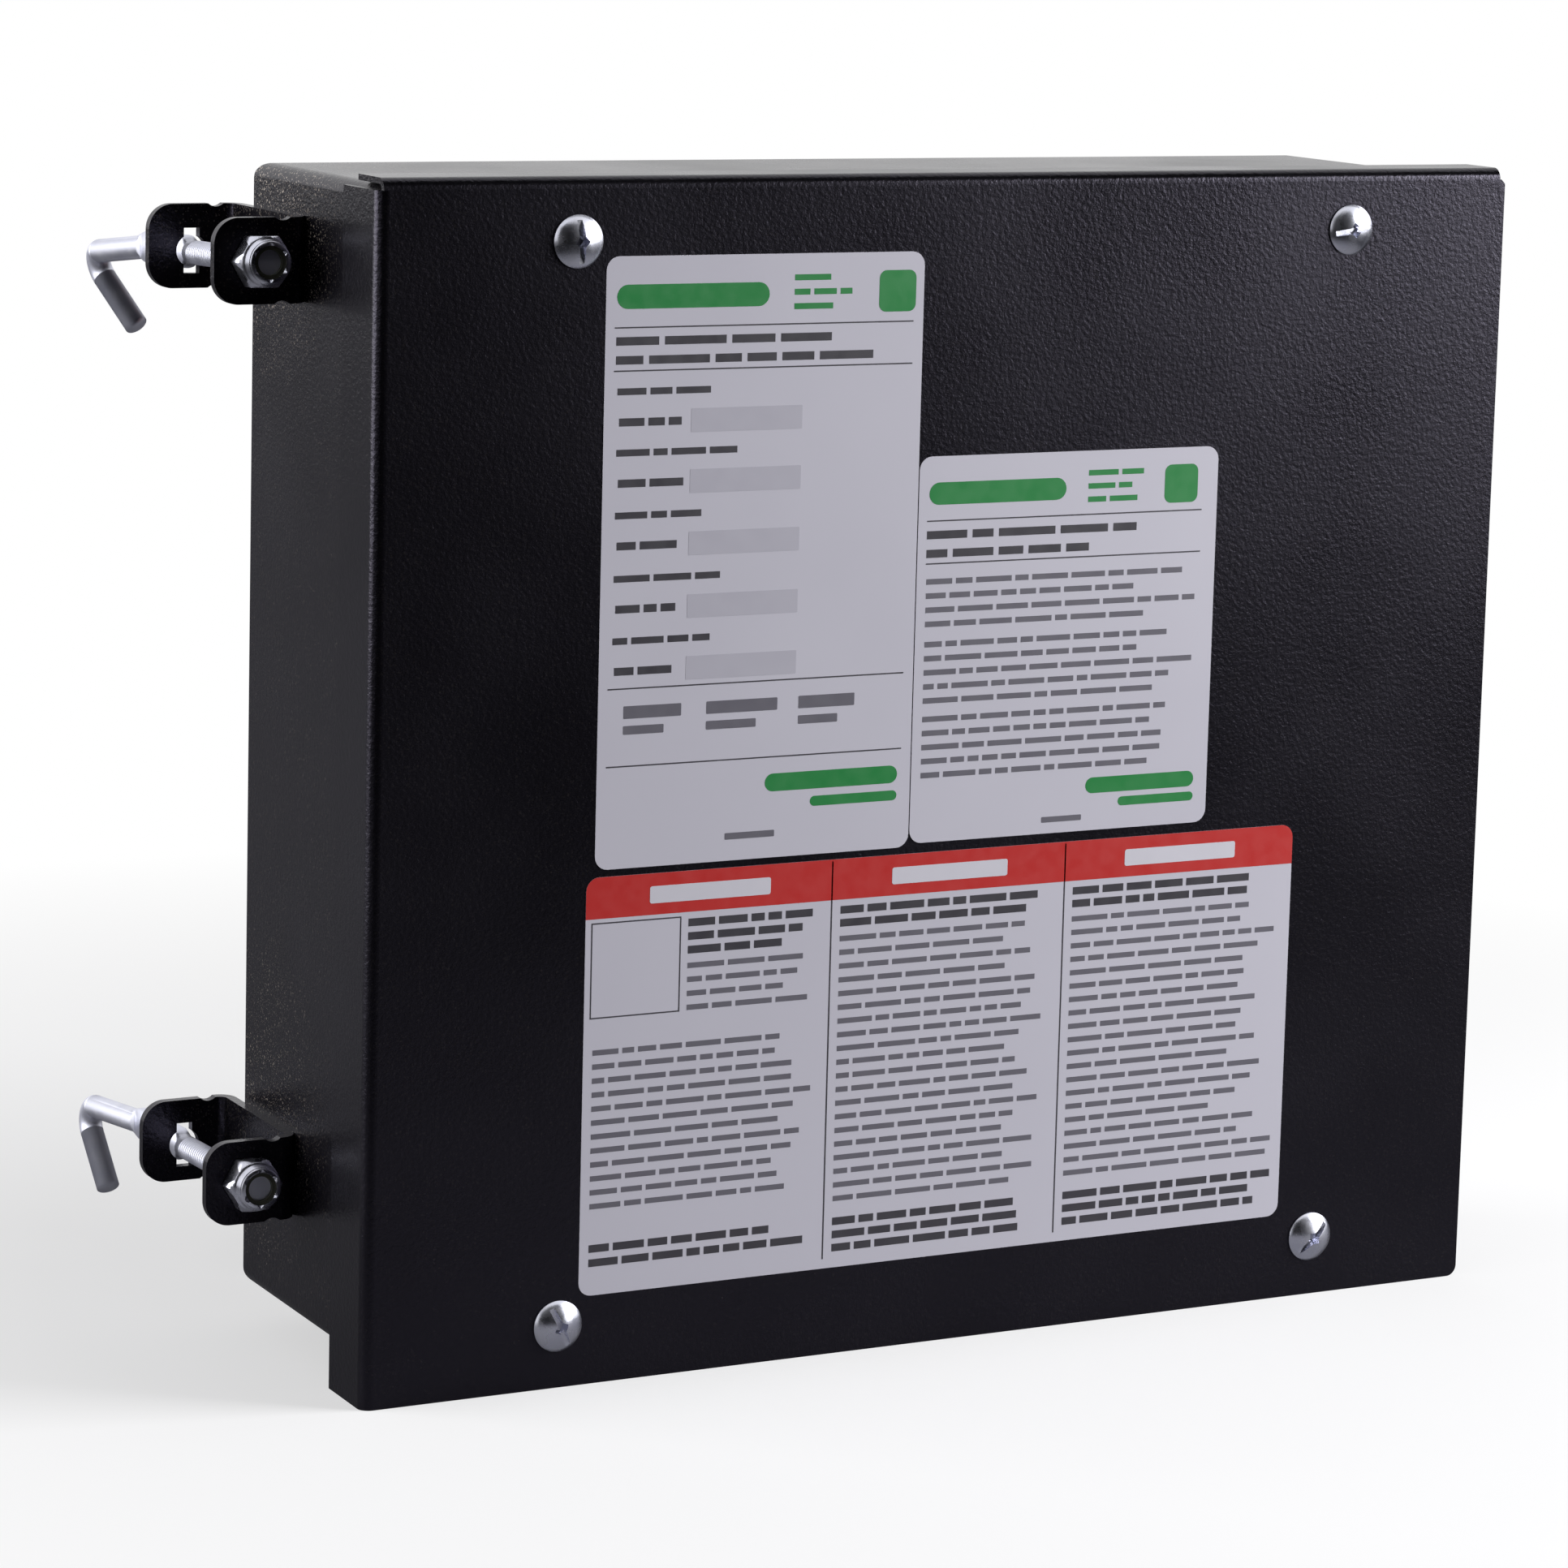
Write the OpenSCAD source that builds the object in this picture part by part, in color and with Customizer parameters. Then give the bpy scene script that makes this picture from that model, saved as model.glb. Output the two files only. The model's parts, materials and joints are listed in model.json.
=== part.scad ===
// Plug-in tap off box for a busbar trunking run: sheet-steel box and cover,
// two hook-bolt clamps, a stab base with spring jaws, straps and wire lugs.
// The origin is the centre of the plug in the plane of the box's rear face.
// +X is to the right and +Z is up for someone facing the cover; +Y points at the busway.

/* [Enclosure] */
// Thickness of the enclosure's sheet steel
sheet_t = 1.5; // [1.2:0.1:2]
// Outer width of the back box
box_w = 310; // [290:1:340]
// Outer height of the back box
box_h = 292.5; // [280:0.5:320]
// Outer depth of the back box, from its rear face to its front lips
box_d = 83.4; // [78:0.1:100]
// Outer radius where the side walls meet the top and bottom walls
wall_corner_r = 3.5; // [2.5:0.1:6]
// Outer radius where the rear wall bends into the top and bottom walls
rear_bend_r = 4.5; // [2.5:0.1:8]
// Outer bend radius of the front lips
lip_bend_r = 2.5; // [2.1:0.1:3.5]
// Width of the top and bottom front lips that take the cover screws
screw_lip = 24; // [21:1:30]
// Width of the left and right front lips
side_lip = 12; // [8:1:16]
// Height of the plug's centre above the middle of the box
plug_rise = 40; // [25:1:45]

/* [Cover] */
// How far the cover stands out past the right wall
cover_right_over = 14.2; // [8:0.1:20]
// How far the cover stands out past the bottom wall
cover_bottom_over = 10.7; // [6:0.1:20]
// Depth of the cover's left flange
left_flange = 21.4; // [12:0.1:30]
// Depth of the cover's top flange
top_flange = 16; // [10:0.1:25]
// Outer bend radius of the cover's flanges
cover_bend_r = 3; // [2.3:0.1:4]
// Gap between each end of the top flange and the end of the cover
flange_notch = 1.6; // [1:0.1:3]
// Radius of the cover's free lower right corner
cover_corner_r = 3; // [1:0.1:6]
// Bevel of the cover's upper right corner
cover_corner_bevel = 1.2; // [0.5:0.1:2.5]
// Running gap between the cover's flanges and the box
cover_gap = 0.3; // [0.2:0.05:0.6]
// Gap between the cover plate and the box's front lips
cover_seat_gap = 0.1; // [0.05:0.05:0.4]

/* [Cover screws] */
// Thread diameter of the cover screws
cover_screw_d = 6.2; // [5:0.1:6.4]
// Distance from the cover's left edge to its left screws
screw_in_left = 53; // [40:0.5:70]
// Distance from the cover's right edge to its right screws
screw_in_right = 48.7; // [40:0.1:70]
// Distance from the cover's top edge to its upper screws
screw_in_top = 15.8; // [12:0.1:17]
// Height of the lower screws above the inside of the bottom wall
screw_above_floor = 3.9; // [3.8:0.1:8]
// Diameter of the truss head
screw_head_d = 13.2; // [11:0.1:15]
// Height of the truss head
screw_head_h = 3.1; // [2:0.1:4]
// Length of the screw under its head
cover_screw_l = 12; // [10:0.5:18]
// Width of the straight slot across the head
screw_slot_w = 1.5; // [1:0.1:2]
// Depth of the straight slot
screw_slot_h = 1.3; // [0.8:0.1:2]
// Width of the square socket in the head
screw_square_w = 3.3; // [2.5:0.1:4]
// Depth of the square socket
screw_square_h = 2.6; // [1.5:0.1:3]
// Slot angle of the upper left screw
turn_upper_left = 95; // [0:1:180]
// Slot angle of the upper right screw
turn_upper_right = 12; // [0:1:180]
// Slot angle of the lower left screw
turn_lower_left = 60; // [0:1:180]
// Slot angle of the lower right screw
turn_lower_right = 35; // [0:1:180]
// Radial clearance of the screws in the cover and lips
screw_gap = 0.45; // [0.3:0.05:0.8]
// Width across the flats of the weld nuts behind the lips
weld_nut_w = 11; // [9.5:0.5:12]
// Height of the weld nuts
weld_nut_h = 5.5; // [4:0.5:7]

/* [Hook clamps] */
// Thickness of the clamp brackets
bracket_t = 2.5; // [2:0.1:3]
// Height of each bracket leg
leg_h = 21.5; // [18:0.5:28]
// Reach of the legs from the box's left wall
leg_reach = 25; // [22:0.5:32]
// Radius of the legs' free corners
leg_corner_r = 6.5; // [3:0.1:8]
// Depth of the bracket over both legs
bracket_d = 48.2; // [42:0.1:60]
// Distance that the rear leg's back face stands behind the box
bracket_behind = 10.8; // [6:0.1:15]
// Outer bend radius of the brackets
bracket_bend_r = 4.5; // [3.5:0.1:6]
// Depth of the small relief dips beside the leg bends
relief_depth = 0.8; // [0.4:0.1:1.5]
// Distance from the box's left wall to the hook bolts
hook_out = 13.5; // [12:0.1:16]
// Distance from the box's top to the upper hook bolt
upper_hook_down = 21.8; // [16:0.1:40]
// Distance between the two hook bolts
hook_pitch = 233.5; // [180:0.5:240]
// Downward tilt of the hook bolts, hanging in their holes
hook_droop = 2; // [0:0.1:3]
// Rod diameter of the hook bolts
hook_rod_d = 6.2; // [5:0.1:6.4]
// Thread length of the hook bolts
hook_thread_l = 51; // [46:0.5:56]
// Hole diameter in the front leg
front_hole_d = 7.4; // [7.2:0.1:9]
// Diameter of the keyhole's round part in the rear leg
keyhole_d = 8.2; // [7.6:0.1:9]
// Width of the keyhole's slot
keyhole_slot_w = 4.2; // [4:0.1:5]
// Length of the keyhole's slot
keyhole_slot_l = 11.6; // [11:0.1:13]
// Distance that the keyhole's centre lies below the front hole
keyhole_drop = 1.2; // [0.8:0.1:2]
// Thickness of the hook bolt's flattened blade
blade_t = 3.4; // [2.6:0.1:3.6]
// Height of the hook bolt's flattened blade
blade_h = 8.5; // [7:0.1:9]
// Length of the hook bolt's flattened blade
blade_l = 37; // [28:0.5:42]
// Length of the round rod between the blade and the hook's bend
shank_l = 33; // [20:0.5:50]
// Downward set of the rod behind the blade
shank_set = 4.5; // [0:0.1:8]
// Centreline radius of the hook's bend
hook_bend_r = 4.6; // [3.6:0.1:8]
// Angle between the rod and the hook's return leg
hook_mouth = 50; // [30:1:80]
// Straight length of the hook's return leg
return_l = 17.5; // [10:0.5:25]
// Turn of the upper hook towards the box
upper_hook_turn = 18; // [0:1:25]
// Turn of the lower hook towards the box
lower_hook_turn = 0; // [0:1:25]

/* [Lock nuts] */
// Width across the flats of the lock nuts
nut_af = 12.6; // [11:0.1:13]
// Height of the hexagon
nut_hex_h = 5.6; // [4.5:0.1:7]
// Height of the whole lock nut
nut_h = 8.4; // [8:0.1:10]
// Outer diameter of the lock nut's collar
collar_d = 11; // [10:0.1:11.4]
// Wall of the collar
collar_wall = 0.8; // [0.6:0.1:1.2]
// Height of the nylon insert
insert_h = 2.2; // [1.5:0.1:2.6]
// Rounded rim of the collar over the insert
collar_rim = 0.5; // [0.3:0.1:0.8]
// Running clearance between the nut's bore and the bolt, on the radius
nut_bore_gap = 0.06; // [0.03:0.01:0.1]
// Gap at the nut's seat that takes up the bolt's tilt
nut_seat_gap = 0.35; // [0.3:0.05:0.6]
// Distance from the bolt's end to the nut's front face
bolt_recess = 1.4; // [0.4:0.1:3]

/* [Stab base] */
// Distance between the jaws' centres
jaw_pitch = 26; // [22:0.5:28]
// Outer width of each jaw sleeve
sleeve_w = 26; // [22:0.5:30]
// Outer height of each jaw sleeve
sleeve_h = 17; // [15:0.5:20]
// Length of the sleeves behind the box
sleeve_l = 38; // [30:0.5:45]
// Wall of the sleeves
sleeve_wall = 2.2; // [1.6:0.1:3]
// Thickness of the stab base's flange
base_t = 6; // [5:0.5:8]
// Margin of the stab base's flange round the cut-out
base_margin = 11; // [10:0.5:16]
// Margin of the cut-out round the sleeves
cutout_margin = 4; // [2:0.5:8]
// Clearance between the stab base and the cut-out
cutout_gap = 0.3; // [0.1:0.05:0.8]

/* [Jaws and straps] */
// Thickness of the jaw copper
jaw_t = 3; // [2.5:0.1:4]
// Width of the jaws
jaw_w = 15; // [12:0.5:18]
// Thickness of each jaw finger
finger_t = 1.5; // [1.2:0.1:2]
// Gap between the fingers where they pinch the busbar
pinch_gap = 2.4; // [1.5:0.1:3]
// Opening of the fingers at their flared tips
flare_gap = 7; // [5:0.5:8]
// Thickness of the jaws' steel springs
spring_t = 0.8; // [0.6:0.1:1.2]
// Width of the copper straps
strap_w = 16; // [14:0.5:18]
// Thickness of the copper straps
strap_t = 3; // [2:0.1:4]
// Height of the straps above the inside of the rear wall
strap_rise = 23.5; // [22:0.5:26]
// Thickness of the ground strap
ground_strap_t = 2; // [1.5:0.1:2.5]
// Height of the ground strap's raised end above the inside of the rear wall
ground_rise = 11; // [10:0.5:13]
// Width across the flats of the strap screws
strap_screw_af = 10; // [8:0.5:11]

/* [Lugs] */
// Distance between the wire lugs' centres
lug_pitch = 38; // [34:0.5:44]
// Width of each wire lug
lug_w = 24; // [20:0.5:28]
// Height of the lug's barrel above the strap
lug_h = 20; // [18:0.5:24]
// Length of the lug's barrel along the wire
lug_l = 26; // [22:0.5:32]
// Length of the lug's tang
tang_l = 18; // [15:0.5:24]
// Thickness of the lug's tang
tang_t = 5; // [4:0.5:7]
// Diameter of the lug's wire hole
wire_d = 11.4; // [8:0.1:13]
// Diameter of the lug's set screw
set_screw_d = 9.4; // [8:0.1:10]
// Width across the flats of the set screw's socket
set_screw_af = 4.8; // [4:0.1:6]
// Gap between the stab base's flange and the lugs' base
terminal_gap = 3.5; // [2:0.5:10]
// Thickness of the barriers between the lugs
barrier_t = 2.5; // [2:0.1:4]
// Height of the barriers above the straps
barrier_h = 26; // [18:1:34]

/* [Knockouts] */
// Diameter of the bottom wall's knockouts
bottom_ko_d = 34.7; // [28:0.1:44]
// Diameter of the right wall's knockout
side_ko_d = 43.9; // [28:0.1:50]
// Clearance round each knockout slug
ko_gap = 0.25; // [0.1:0.05:0.4]
// Distance that each slug is pushed in
ko_push = 0.5; // [0.2:0.1:1]
// Distance between the bottom wall's knockouts
bottom_ko_pitch = 90; // [60:1:120]
// Height of the right wall's knockout above the bottom wall
side_ko_rise = 60; // [35:1:90]

/* [Hidden] */
$fn = 64;
eps = 0.01;
cut = 1;

// Box walls
box_left = -box_w / 2;
box_right = box_w / 2;
box_mid = -plug_rise;
box_top = box_mid + box_h / 2;
box_bottom = box_mid - box_h / 2;
box_front = -box_d;
rear_inside = -sheet_t;

// Cover edges
cover_left = box_left - cover_gap - sheet_t;
cover_right = box_right + cover_right_over;
cover_top = box_top + cover_gap + sheet_t;
cover_bottom = box_bottom - cover_bottom_over;
cover_back = box_front - cover_seat_gap;
cover_front = cover_back - sheet_t;

// Cover screws: [x, z, slot angle]
screw_low = box_bottom + sheet_t + screw_above_floor;
screw_high = cover_top - screw_in_top;
cover_screw_places = [
    [cover_left + screw_in_left, screw_high, turn_upper_left],
    [cover_right - screw_in_right, screw_high, turn_upper_right],
    [cover_left + screw_in_left, screw_low, turn_lower_left],
    [cover_right - screw_in_right, screw_low, turn_lower_right]
];

// Hook clamps
bracket_back = bracket_behind;
bracket_front = bracket_back - bracket_d;
dip_d = 6;
dip_from_bend = 2.5;
hook_x = box_left - hook_out;
upper_hook_z = box_top - upper_hook_down;
lower_hook_z = upper_hook_z - hook_pitch;
nut_back = -nut_seat_gap;
nut_front = nut_back - nut_h;
bolt_end = nut_front + bolt_recess;
blade_start = bolt_end + hook_thread_l;
blade_end = blade_start + blade_l;
bend_lap = 0.3;
bend_swell = 0.05;
screw_rim = 0.5;

// Stab base
sleeve_rows = [1.5, 0.5, -0.5, -1.5] * jaw_pitch;
cutout_w = sleeve_w + 2 * cutout_margin;
cutout_h = 3 * jaw_pitch + sleeve_h + 2 * cutout_margin;
base_w = cutout_w + 2 * base_margin;
base_h = cutout_h + 2 * base_margin;
base_front = rear_inside - base_t;
base_screw_d = 4;
base_screw_head_d = 7.5;
base_screw_head_h = 2.6;
screw_short = 0.2;
base_screw_x = base_w / 2 - base_margin / 2;
base_screw_z = base_h / 2 - base_margin / 2;
base_corner_r = 4;
sleeve_corner_r = 2.5;
jaw_row_a = sleeve_rows[0];
jaw_row_c = sleeve_rows[1];
jaw_row_b = sleeve_rows[2];
ground_row = sleeve_rows[3];

// Jaws: lengths along Y
tip_recess = 3;
flare_l = 9;
finger_tip = sleeve_l - tip_recess;
pinch_y = finger_tip - flare_l;
cavity_y = 1;
finger_root = 4;
spring_inset = 2;
strap_back = rear_inside - strap_rise;
strap_front = strap_back - strap_t;
ground_back = rear_inside - ground_rise;
ground_front = ground_back - ground_strap_t;
foot_h = strap_w;
jaw_slot_gap = 0.2;
spring_root = 9;

// Strap screws
strap_screw_d = 6;
strap_screw_h = 4;
strap_flange_d = strap_screw_af * 1.35;
strap_flange_t = 1.2;

// Lugs and their base
terminal_margin = 4;
terminal_top = -base_h / 2 - terminal_gap;
tang_top = terminal_top - terminal_margin;
lug_top = tang_top - tang_l;
lug_bottom = lug_top - lug_l;
tang_hole_z = lug_top + tang_l / 2;
wire_y = strap_front - tang_t - wire_d / 2 + 2.5;
lug_front = strap_front - lug_h;
set_screw_z = lug_top - lug_l / 2;
set_screw_l = 6.5;
ground_set_l = 5;
set_screw_proud = 1;
tang_screw_d = 5;
tang_screw_head_d = 9;
tang_screw_head_h = 3.4;
tang_screw_bite = 10;
tang_bore_l = tang_screw_bite + 2;
screw_bore_gap = 0.2;
terminal_w = 3 * lug_pitch + barrier_t;
terminal_bottom = lug_bottom - terminal_margin;
terminal_h = terminal_top - terminal_bottom;
terminal_ear = 12;
terminal_ear_t = 8;
lug_columns = [-lug_pitch, 0, lug_pitch];

// Ground lug, on the rear wall to the right of the stab base
ground_step_x = base_w / 2 + 12;
ground_land_x = ground_step_x + 10;
ground_lug_x = ground_land_x + 22;
ground_lug_w = 16;
ground_lug_l = 20;
ground_lug_h = 15;
ground_wire_d = 7.6;
ground_set_d = 7;
ground_tang_l = 14;
ground_tang_t = 4;
ground_set_af = 3.6;
ground_screw_head_d = 9;
ground_screw_head_h = 3.2;
ground_strap_end = ground_lug_x + ground_lug_w / 2 + 2;
ground_z = ground_row + foot_h / 2;
ground_lug_front = rear_inside - ground_strap_t - ground_lug_h;
ground_screw_d = 5;
ground_lug_low = ground_z - ground_tang_l / 2 - ground_lug_l;

// Knockouts
ko_y = -box_d / 2;
bottom_ko_places = [[bottom_ko_pitch / 2, 0], [-bottom_ko_pitch / 2, 0]];
side_ko_z = box_bottom + side_ko_rise;

black_coat = [0.13, 0.13, 0.14];
bright_zinc = [0.78, 0.80, 0.84];
dull_zinc = [0.60, 0.62, 0.64];
nylon = [0.20, 0.21, 0.15];
copper = [0.80, 0.50, 0.34];
tinned = [0.75, 0.74, 0.71];
spring_steel = [0.35, 0.36, 0.40];
moulding = [0.55, 0.16, 0.12];
lug_metal = [0.72, 0.73, 0.74];
screw_steel = [0.68, 0.68, 0.66];

// --- Helpers ---

// Turns a drawing in X and Y, drawn upwards, into one in X and Z that runs back along +Y
module along_y(from, to) {
    translate([0, to, 0]) rotate([90, 0, 0]) linear_extrude(height = to - from) children();
}

// A round bar or hole along Y
module rod_y(d, from, to) {
    translate([0, from, 0]) rotate([-90, 0, 0]) cylinder(d = d, h = to - from);
}

module round_rect(w, h, r) {
    square([w - 2 * r, h], center = true);
    square([w, h - 2 * r], center = true);
    for (sx = [-1, 1], sy = [-1, 1])
        translate([sx * (w / 2 - r), sy * (h / 2 - r)]) circle(r = r);
}

// Strip with one rounded bend: runs along +X from the corner and along +Y from it
module bent_strip(run_x, run_y, t, r) {
    translate([r, 0]) square([run_x - r, t]);
    translate([0, r]) square([t, run_y - r]);
    translate([r, r]) intersection() {
        difference() {
            circle(r = r);
            circle(r = r - t);
        }
        translate([-r, -r]) square(r);
    }
}

module hex_prism(af, h) {
    rotate(30) cylinder(d = af / cos(30), h = h, $fn = 6);
}

// Pan-head screw along Y, its head towards the cover; y is where the head seats
module pan_screw(d, head_d, head_h, y, len) {
    difference() {
        union() {
            rod_y(d, y, y + len);
            rod_y(head_d, y - head_h * 0.6, y);
            translate([0, y - head_h, 0]) rotate([-90, 0, 0])
                cylinder(d1 = head_d * 0.72, d2 = head_d, h = head_h * 0.4);
        }
        translate([-head_d, y - head_h - cut, -head_d * 0.07])
            cube([2 * head_d, head_h * 0.45 + cut, head_d * 0.14]);
    }
}

// --- Enclosure ---

// Solid body of the box, drawn in by the given amount on every wall but the front
module box_block(inset) {
    r_side = wall_corner_r - inset;
    r_rear = rear_bend_r - inset;
    depth = box_d - inset;
    intersection() {
        translate([0, 0, box_mid]) along_y(box_front, -inset)
            round_rect(box_w - 2 * inset, box_h - 2 * inset, r_side);
        translate([-box_w / 2, 0, box_mid]) rotate([90, 0, 90]) linear_extrude(height = box_w) {
            translate([-box_d, -box_h / 2 + inset]) square([depth - r_rear, box_h - 2 * inset]);
            translate([-inset - r_rear - eps, -box_h / 2 + inset + r_rear])
                square([r_rear + eps, box_h - 2 * inset - 2 * r_rear]);
            for (s = [-1, 1])
                translate([-inset - r_rear, s * (box_h / 2 - inset - r_rear)]) circle(r = r_rear);
        }
    }
}

module front_lips() {
    opening_w = box_w - 2 * side_lip;
    opening_h = box_h - 2 * screw_lip;
    lip_corner_r = 6;
    translate([0, 0, box_mid]) along_y(box_front, box_front + sheet_t) difference() {
        round_rect(box_w, box_h, wall_corner_r);
        round_rect(opening_w, opening_h, lip_corner_r);
    }
}

// Two front edges rounded and the rear left open, in X and Y
module rounded_front(w) {
    translate([-w / 2, box_front + lip_bend_r]) square([w, box_d]);
    translate([-w / 2 + lip_bend_r, box_front]) square([w - 2 * lip_bend_r, lip_bend_r + eps]);
    for (s = [-1, 1])
        translate([s * (w / 2 - lip_bend_r), box_front + lip_bend_r]) circle(r = lip_bend_r);
}

module back_box() {
    color(black_coat) difference() {
        intersection() {
            union() {
                difference() {
                    box_block(0);
                    box_block(sheet_t);
                    translate([0, -cut, 0]) box_block(sheet_t);
                }
                front_lips();
            }
            translate([0, 0, box_bottom - cut]) linear_extrude(height = box_h + 2 * cut)
                rounded_front(box_w);
            translate([box_left - cut, 0, box_mid]) rotate([0, 90, 0])
                linear_extrude(height = box_w + 2 * cut) rounded_front(box_h);
        }
        along_y(rear_inside - cut, cut) round_rect(cutout_w, cutout_h, base_corner_r);
        for (p = cover_screw_places)
            translate([p[0], 0, p[1]])
                rod_y(cover_screw_d + 2 * screw_gap, box_front - cut, box_front + sheet_t + cut);
        for (sx = [-1, 1], sz = [-1, 1])
            translate([sx * base_screw_x, 0, sz * base_screw_z])
                rod_y(base_screw_d + 2 * screw_bore_gap, rear_inside - cut, cut);
        for (sx = [-1, 1])
            translate([sx * (terminal_w + terminal_ear) / 2, 0, (terminal_top + terminal_bottom) / 2])
                rod_y(base_screw_d + 2 * screw_bore_gap, rear_inside - cut, cut);
        translate([ground_lug_x, 0, ground_z])
            rod_y(ground_screw_d + 2 * screw_bore_gap, rear_inside - cut, cut);
        for (p = bottom_ko_places)
            translate([p[0], ko_y, box_bottom - cut]) cylinder(d = bottom_ko_d, h = sheet_t + 2 * cut);
        translate([box_right - sheet_t - cut, ko_y, side_ko_z]) rotate([0, 90, 0])
            cylinder(d = side_ko_d, h = sheet_t + 2 * cut);
    }
}

module knockout_slugs() {
    color(black_coat) {
        for (p = bottom_ko_places)
            translate([p[0], ko_y, box_bottom + ko_push])
                cylinder(d = bottom_ko_d - 2 * ko_gap, h = sheet_t);
        translate([box_right - sheet_t - ko_push, ko_y, side_ko_z]) rotate([0, 90, 0])
            cylinder(d = side_ko_d - 2 * ko_gap, h = sheet_t);
    }
}

module front_cover() {
    plate_w = cover_right - cover_left;
    plate_h = cover_top - cover_bottom;
    bend = cover_bend_r;
    color(black_coat) difference() {
        union() {
            // Plate with its free corner rounded
            difference() {
                translate([cover_left + bend, cover_front, cover_bottom])
                    cube([plate_w - bend, sheet_t, plate_h - bend]);
                translate([cover_right - cover_corner_r, cover_front - cut, cover_bottom + cover_corner_r])
                    rotate([-90, 0, 0]) difference() {
                        cube([cover_corner_r + cut, cover_corner_r + cut, sheet_t + 2 * cut]);
                        cylinder(r = cover_corner_r, h = sheet_t + 2 * cut);
                    }
            }
            // Left flange and its bend
            translate([cover_left, cover_front, cover_bottom]) linear_extrude(height = plate_h - bend)
                bent_strip(bend + eps, left_flange, sheet_t, bend);
            // Top flange and its bend, short of both ends
            translate([cover_left + flange_notch, cover_front, cover_top]) rotate([0, 90, 0])
                linear_extrude(height = plate_w - 2 * flange_notch)
                    bent_strip(bend + eps, top_flange, sheet_t, bend);
        }
        translate([cover_right, cover_front + sheet_t / 2, cover_top - bend]) rotate([0, 45, 0])
            cube([cover_corner_bevel * sqrt(2), sheet_t + 2 * cut, cover_corner_bevel * sqrt(2)], center = true);
        for (p = cover_screw_places)
            translate([p[0], 0, p[1]])
                rod_y(cover_screw_d + 2 * screw_gap, cover_front - cut, cover_back + cut);
    }
}

// Truss-head screw with a straight slot and a square socket, drawn head up
module truss_screw(turn) {
    head_r = screw_head_d / 2;
    dome = screw_head_h - screw_rim;
    dome_r = (head_r * head_r + dome * dome) / (2 * dome);
    difference() {
        union() {
            translate([0, 0, -cover_screw_l]) cylinder(d = cover_screw_d, h = cover_screw_l + eps);
            intersection() {
                translate([0, 0, screw_head_h - dome_r]) sphere(r = dome_r);
                cylinder(r = head_r, h = screw_head_h + cut);
            }
        }
        rotate(turn) translate([-head_r - cut, -screw_slot_w / 2, screw_head_h - screw_slot_h])
            cube([2 * (head_r + cut), screw_slot_w, screw_slot_h + cut]);
        rotate(turn) translate([-screw_square_w / 2, -screw_square_w / 2, screw_head_h - screw_square_h])
            cube([screw_square_w, screw_square_w, screw_square_h + cut]);
    }
}

module cover_screws() {
    color(bright_zinc) for (p = cover_screw_places)
        translate([p[0], cover_front, p[1]]) rotate([90, 0, 0]) truss_screw(p[2]);
}

module cover_weld_nuts() {
    color(dull_zinc) for (p = cover_screw_places) {
        lower = p[1] < box_mid;
        translate([p[0], box_front + sheet_t, p[1]]) difference() {
            translate([-weld_nut_w / 2, 0, lower ? -screw_above_floor : -weld_nut_w / 2])
                cube([weld_nut_w, weld_nut_h, weld_nut_w / 2 + (lower ? screw_above_floor : weld_nut_w / 2)]);
            rod_y(cover_screw_d + 2 * nut_bore_gap, -cut, weld_nut_h + cut);
        }
    }
}

// --- Hook clamps ---

module clamp_bracket(z) {
    dip_x = box_left - bracket_bend_r - dip_from_bend;
    color(black_coat) translate([0, 0, z]) difference() {
        intersection() {
            // Channel, seen from above
            translate([0, 0, -leg_h / 2]) linear_extrude(height = leg_h) {
                translate([box_left, bracket_front]) mirror([1, 0])
                    bent_strip(leg_reach, bracket_d / 2 + eps, bracket_t, bracket_bend_r);
                translate([box_left, bracket_back]) mirror([1, 0]) mirror([0, 1])
                    bent_strip(leg_reach, bracket_d / 2 + eps, bracket_t, bracket_bend_r);
            }
            // Leg outline with rounded free corners
            translate([box_left, 0, 0]) along_y(bracket_front - cut, bracket_back + cut) union() {
                translate([-leg_reach + leg_corner_r, -leg_h / 2]) square([leg_reach - leg_corner_r, leg_h]);
                translate([-leg_reach, -leg_h / 2 + leg_corner_r])
                    square([leg_reach, leg_h - 2 * leg_corner_r]);
                for (s = [-1, 1])
                    translate([-leg_reach + leg_corner_r, s * (leg_h / 2 - leg_corner_r)])
                        circle(r = leg_corner_r);
            }
        }
        translate([hook_x, 0, 0]) rod_y(front_hole_d, bracket_front - cut, bracket_front + bracket_t + cut);
        translate([hook_x, 0, -keyhole_drop]) {
            rod_y(keyhole_d, bracket_back - bracket_t - cut, bracket_back + cut);
            translate([0, bracket_back - bracket_t / 2, 0])
                cube([keyhole_slot_w, bracket_t + 2 * cut, keyhole_slot_l], center = true);
        }
        // Relief dips at the roots of both legs
        for (s = [-1, 1])
            translate([dip_x, 0, s * (leg_h / 2 + dip_d / 2 - relief_depth)])
                rod_y(dip_d, bracket_front - cut, bracket_back + cut);
    }
}

module upper_clamp_bracket() clamp_bracket(upper_hook_z);
module lower_clamp_bracket() clamp_bracket(lower_hook_z);

// Puts a piece drawn on the hook's own axis in place; local zero is the front leg's face
module on_hook_axis(z) {
    translate([hook_x, bracket_front, z]) rotate([-hook_droop, 0, 0]) children();
}

// Flattened blade: a lens-edged plate, tapered at both ends
module blade() {
    end_taper = 5;
    root_in = 0.6;
    intersection() {
        translate([-blade_t / 2, blade_start - cut, -blade_h]) cube([blade_t, blade_l + 2 * cut, 2 * blade_h]);
        translate([0, blade_start, 0]) rotate([-90, 0, 0]) rotate_extrude()
            polygon([
                [0, 0], [hook_rod_d / 2 - root_in, 0], [blade_h / 2, end_taper],
                [blade_h / 2, blade_l - end_taper], [hook_rod_d / 2, blade_l], [0, blade_l]
            ]);
    }
}

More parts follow.
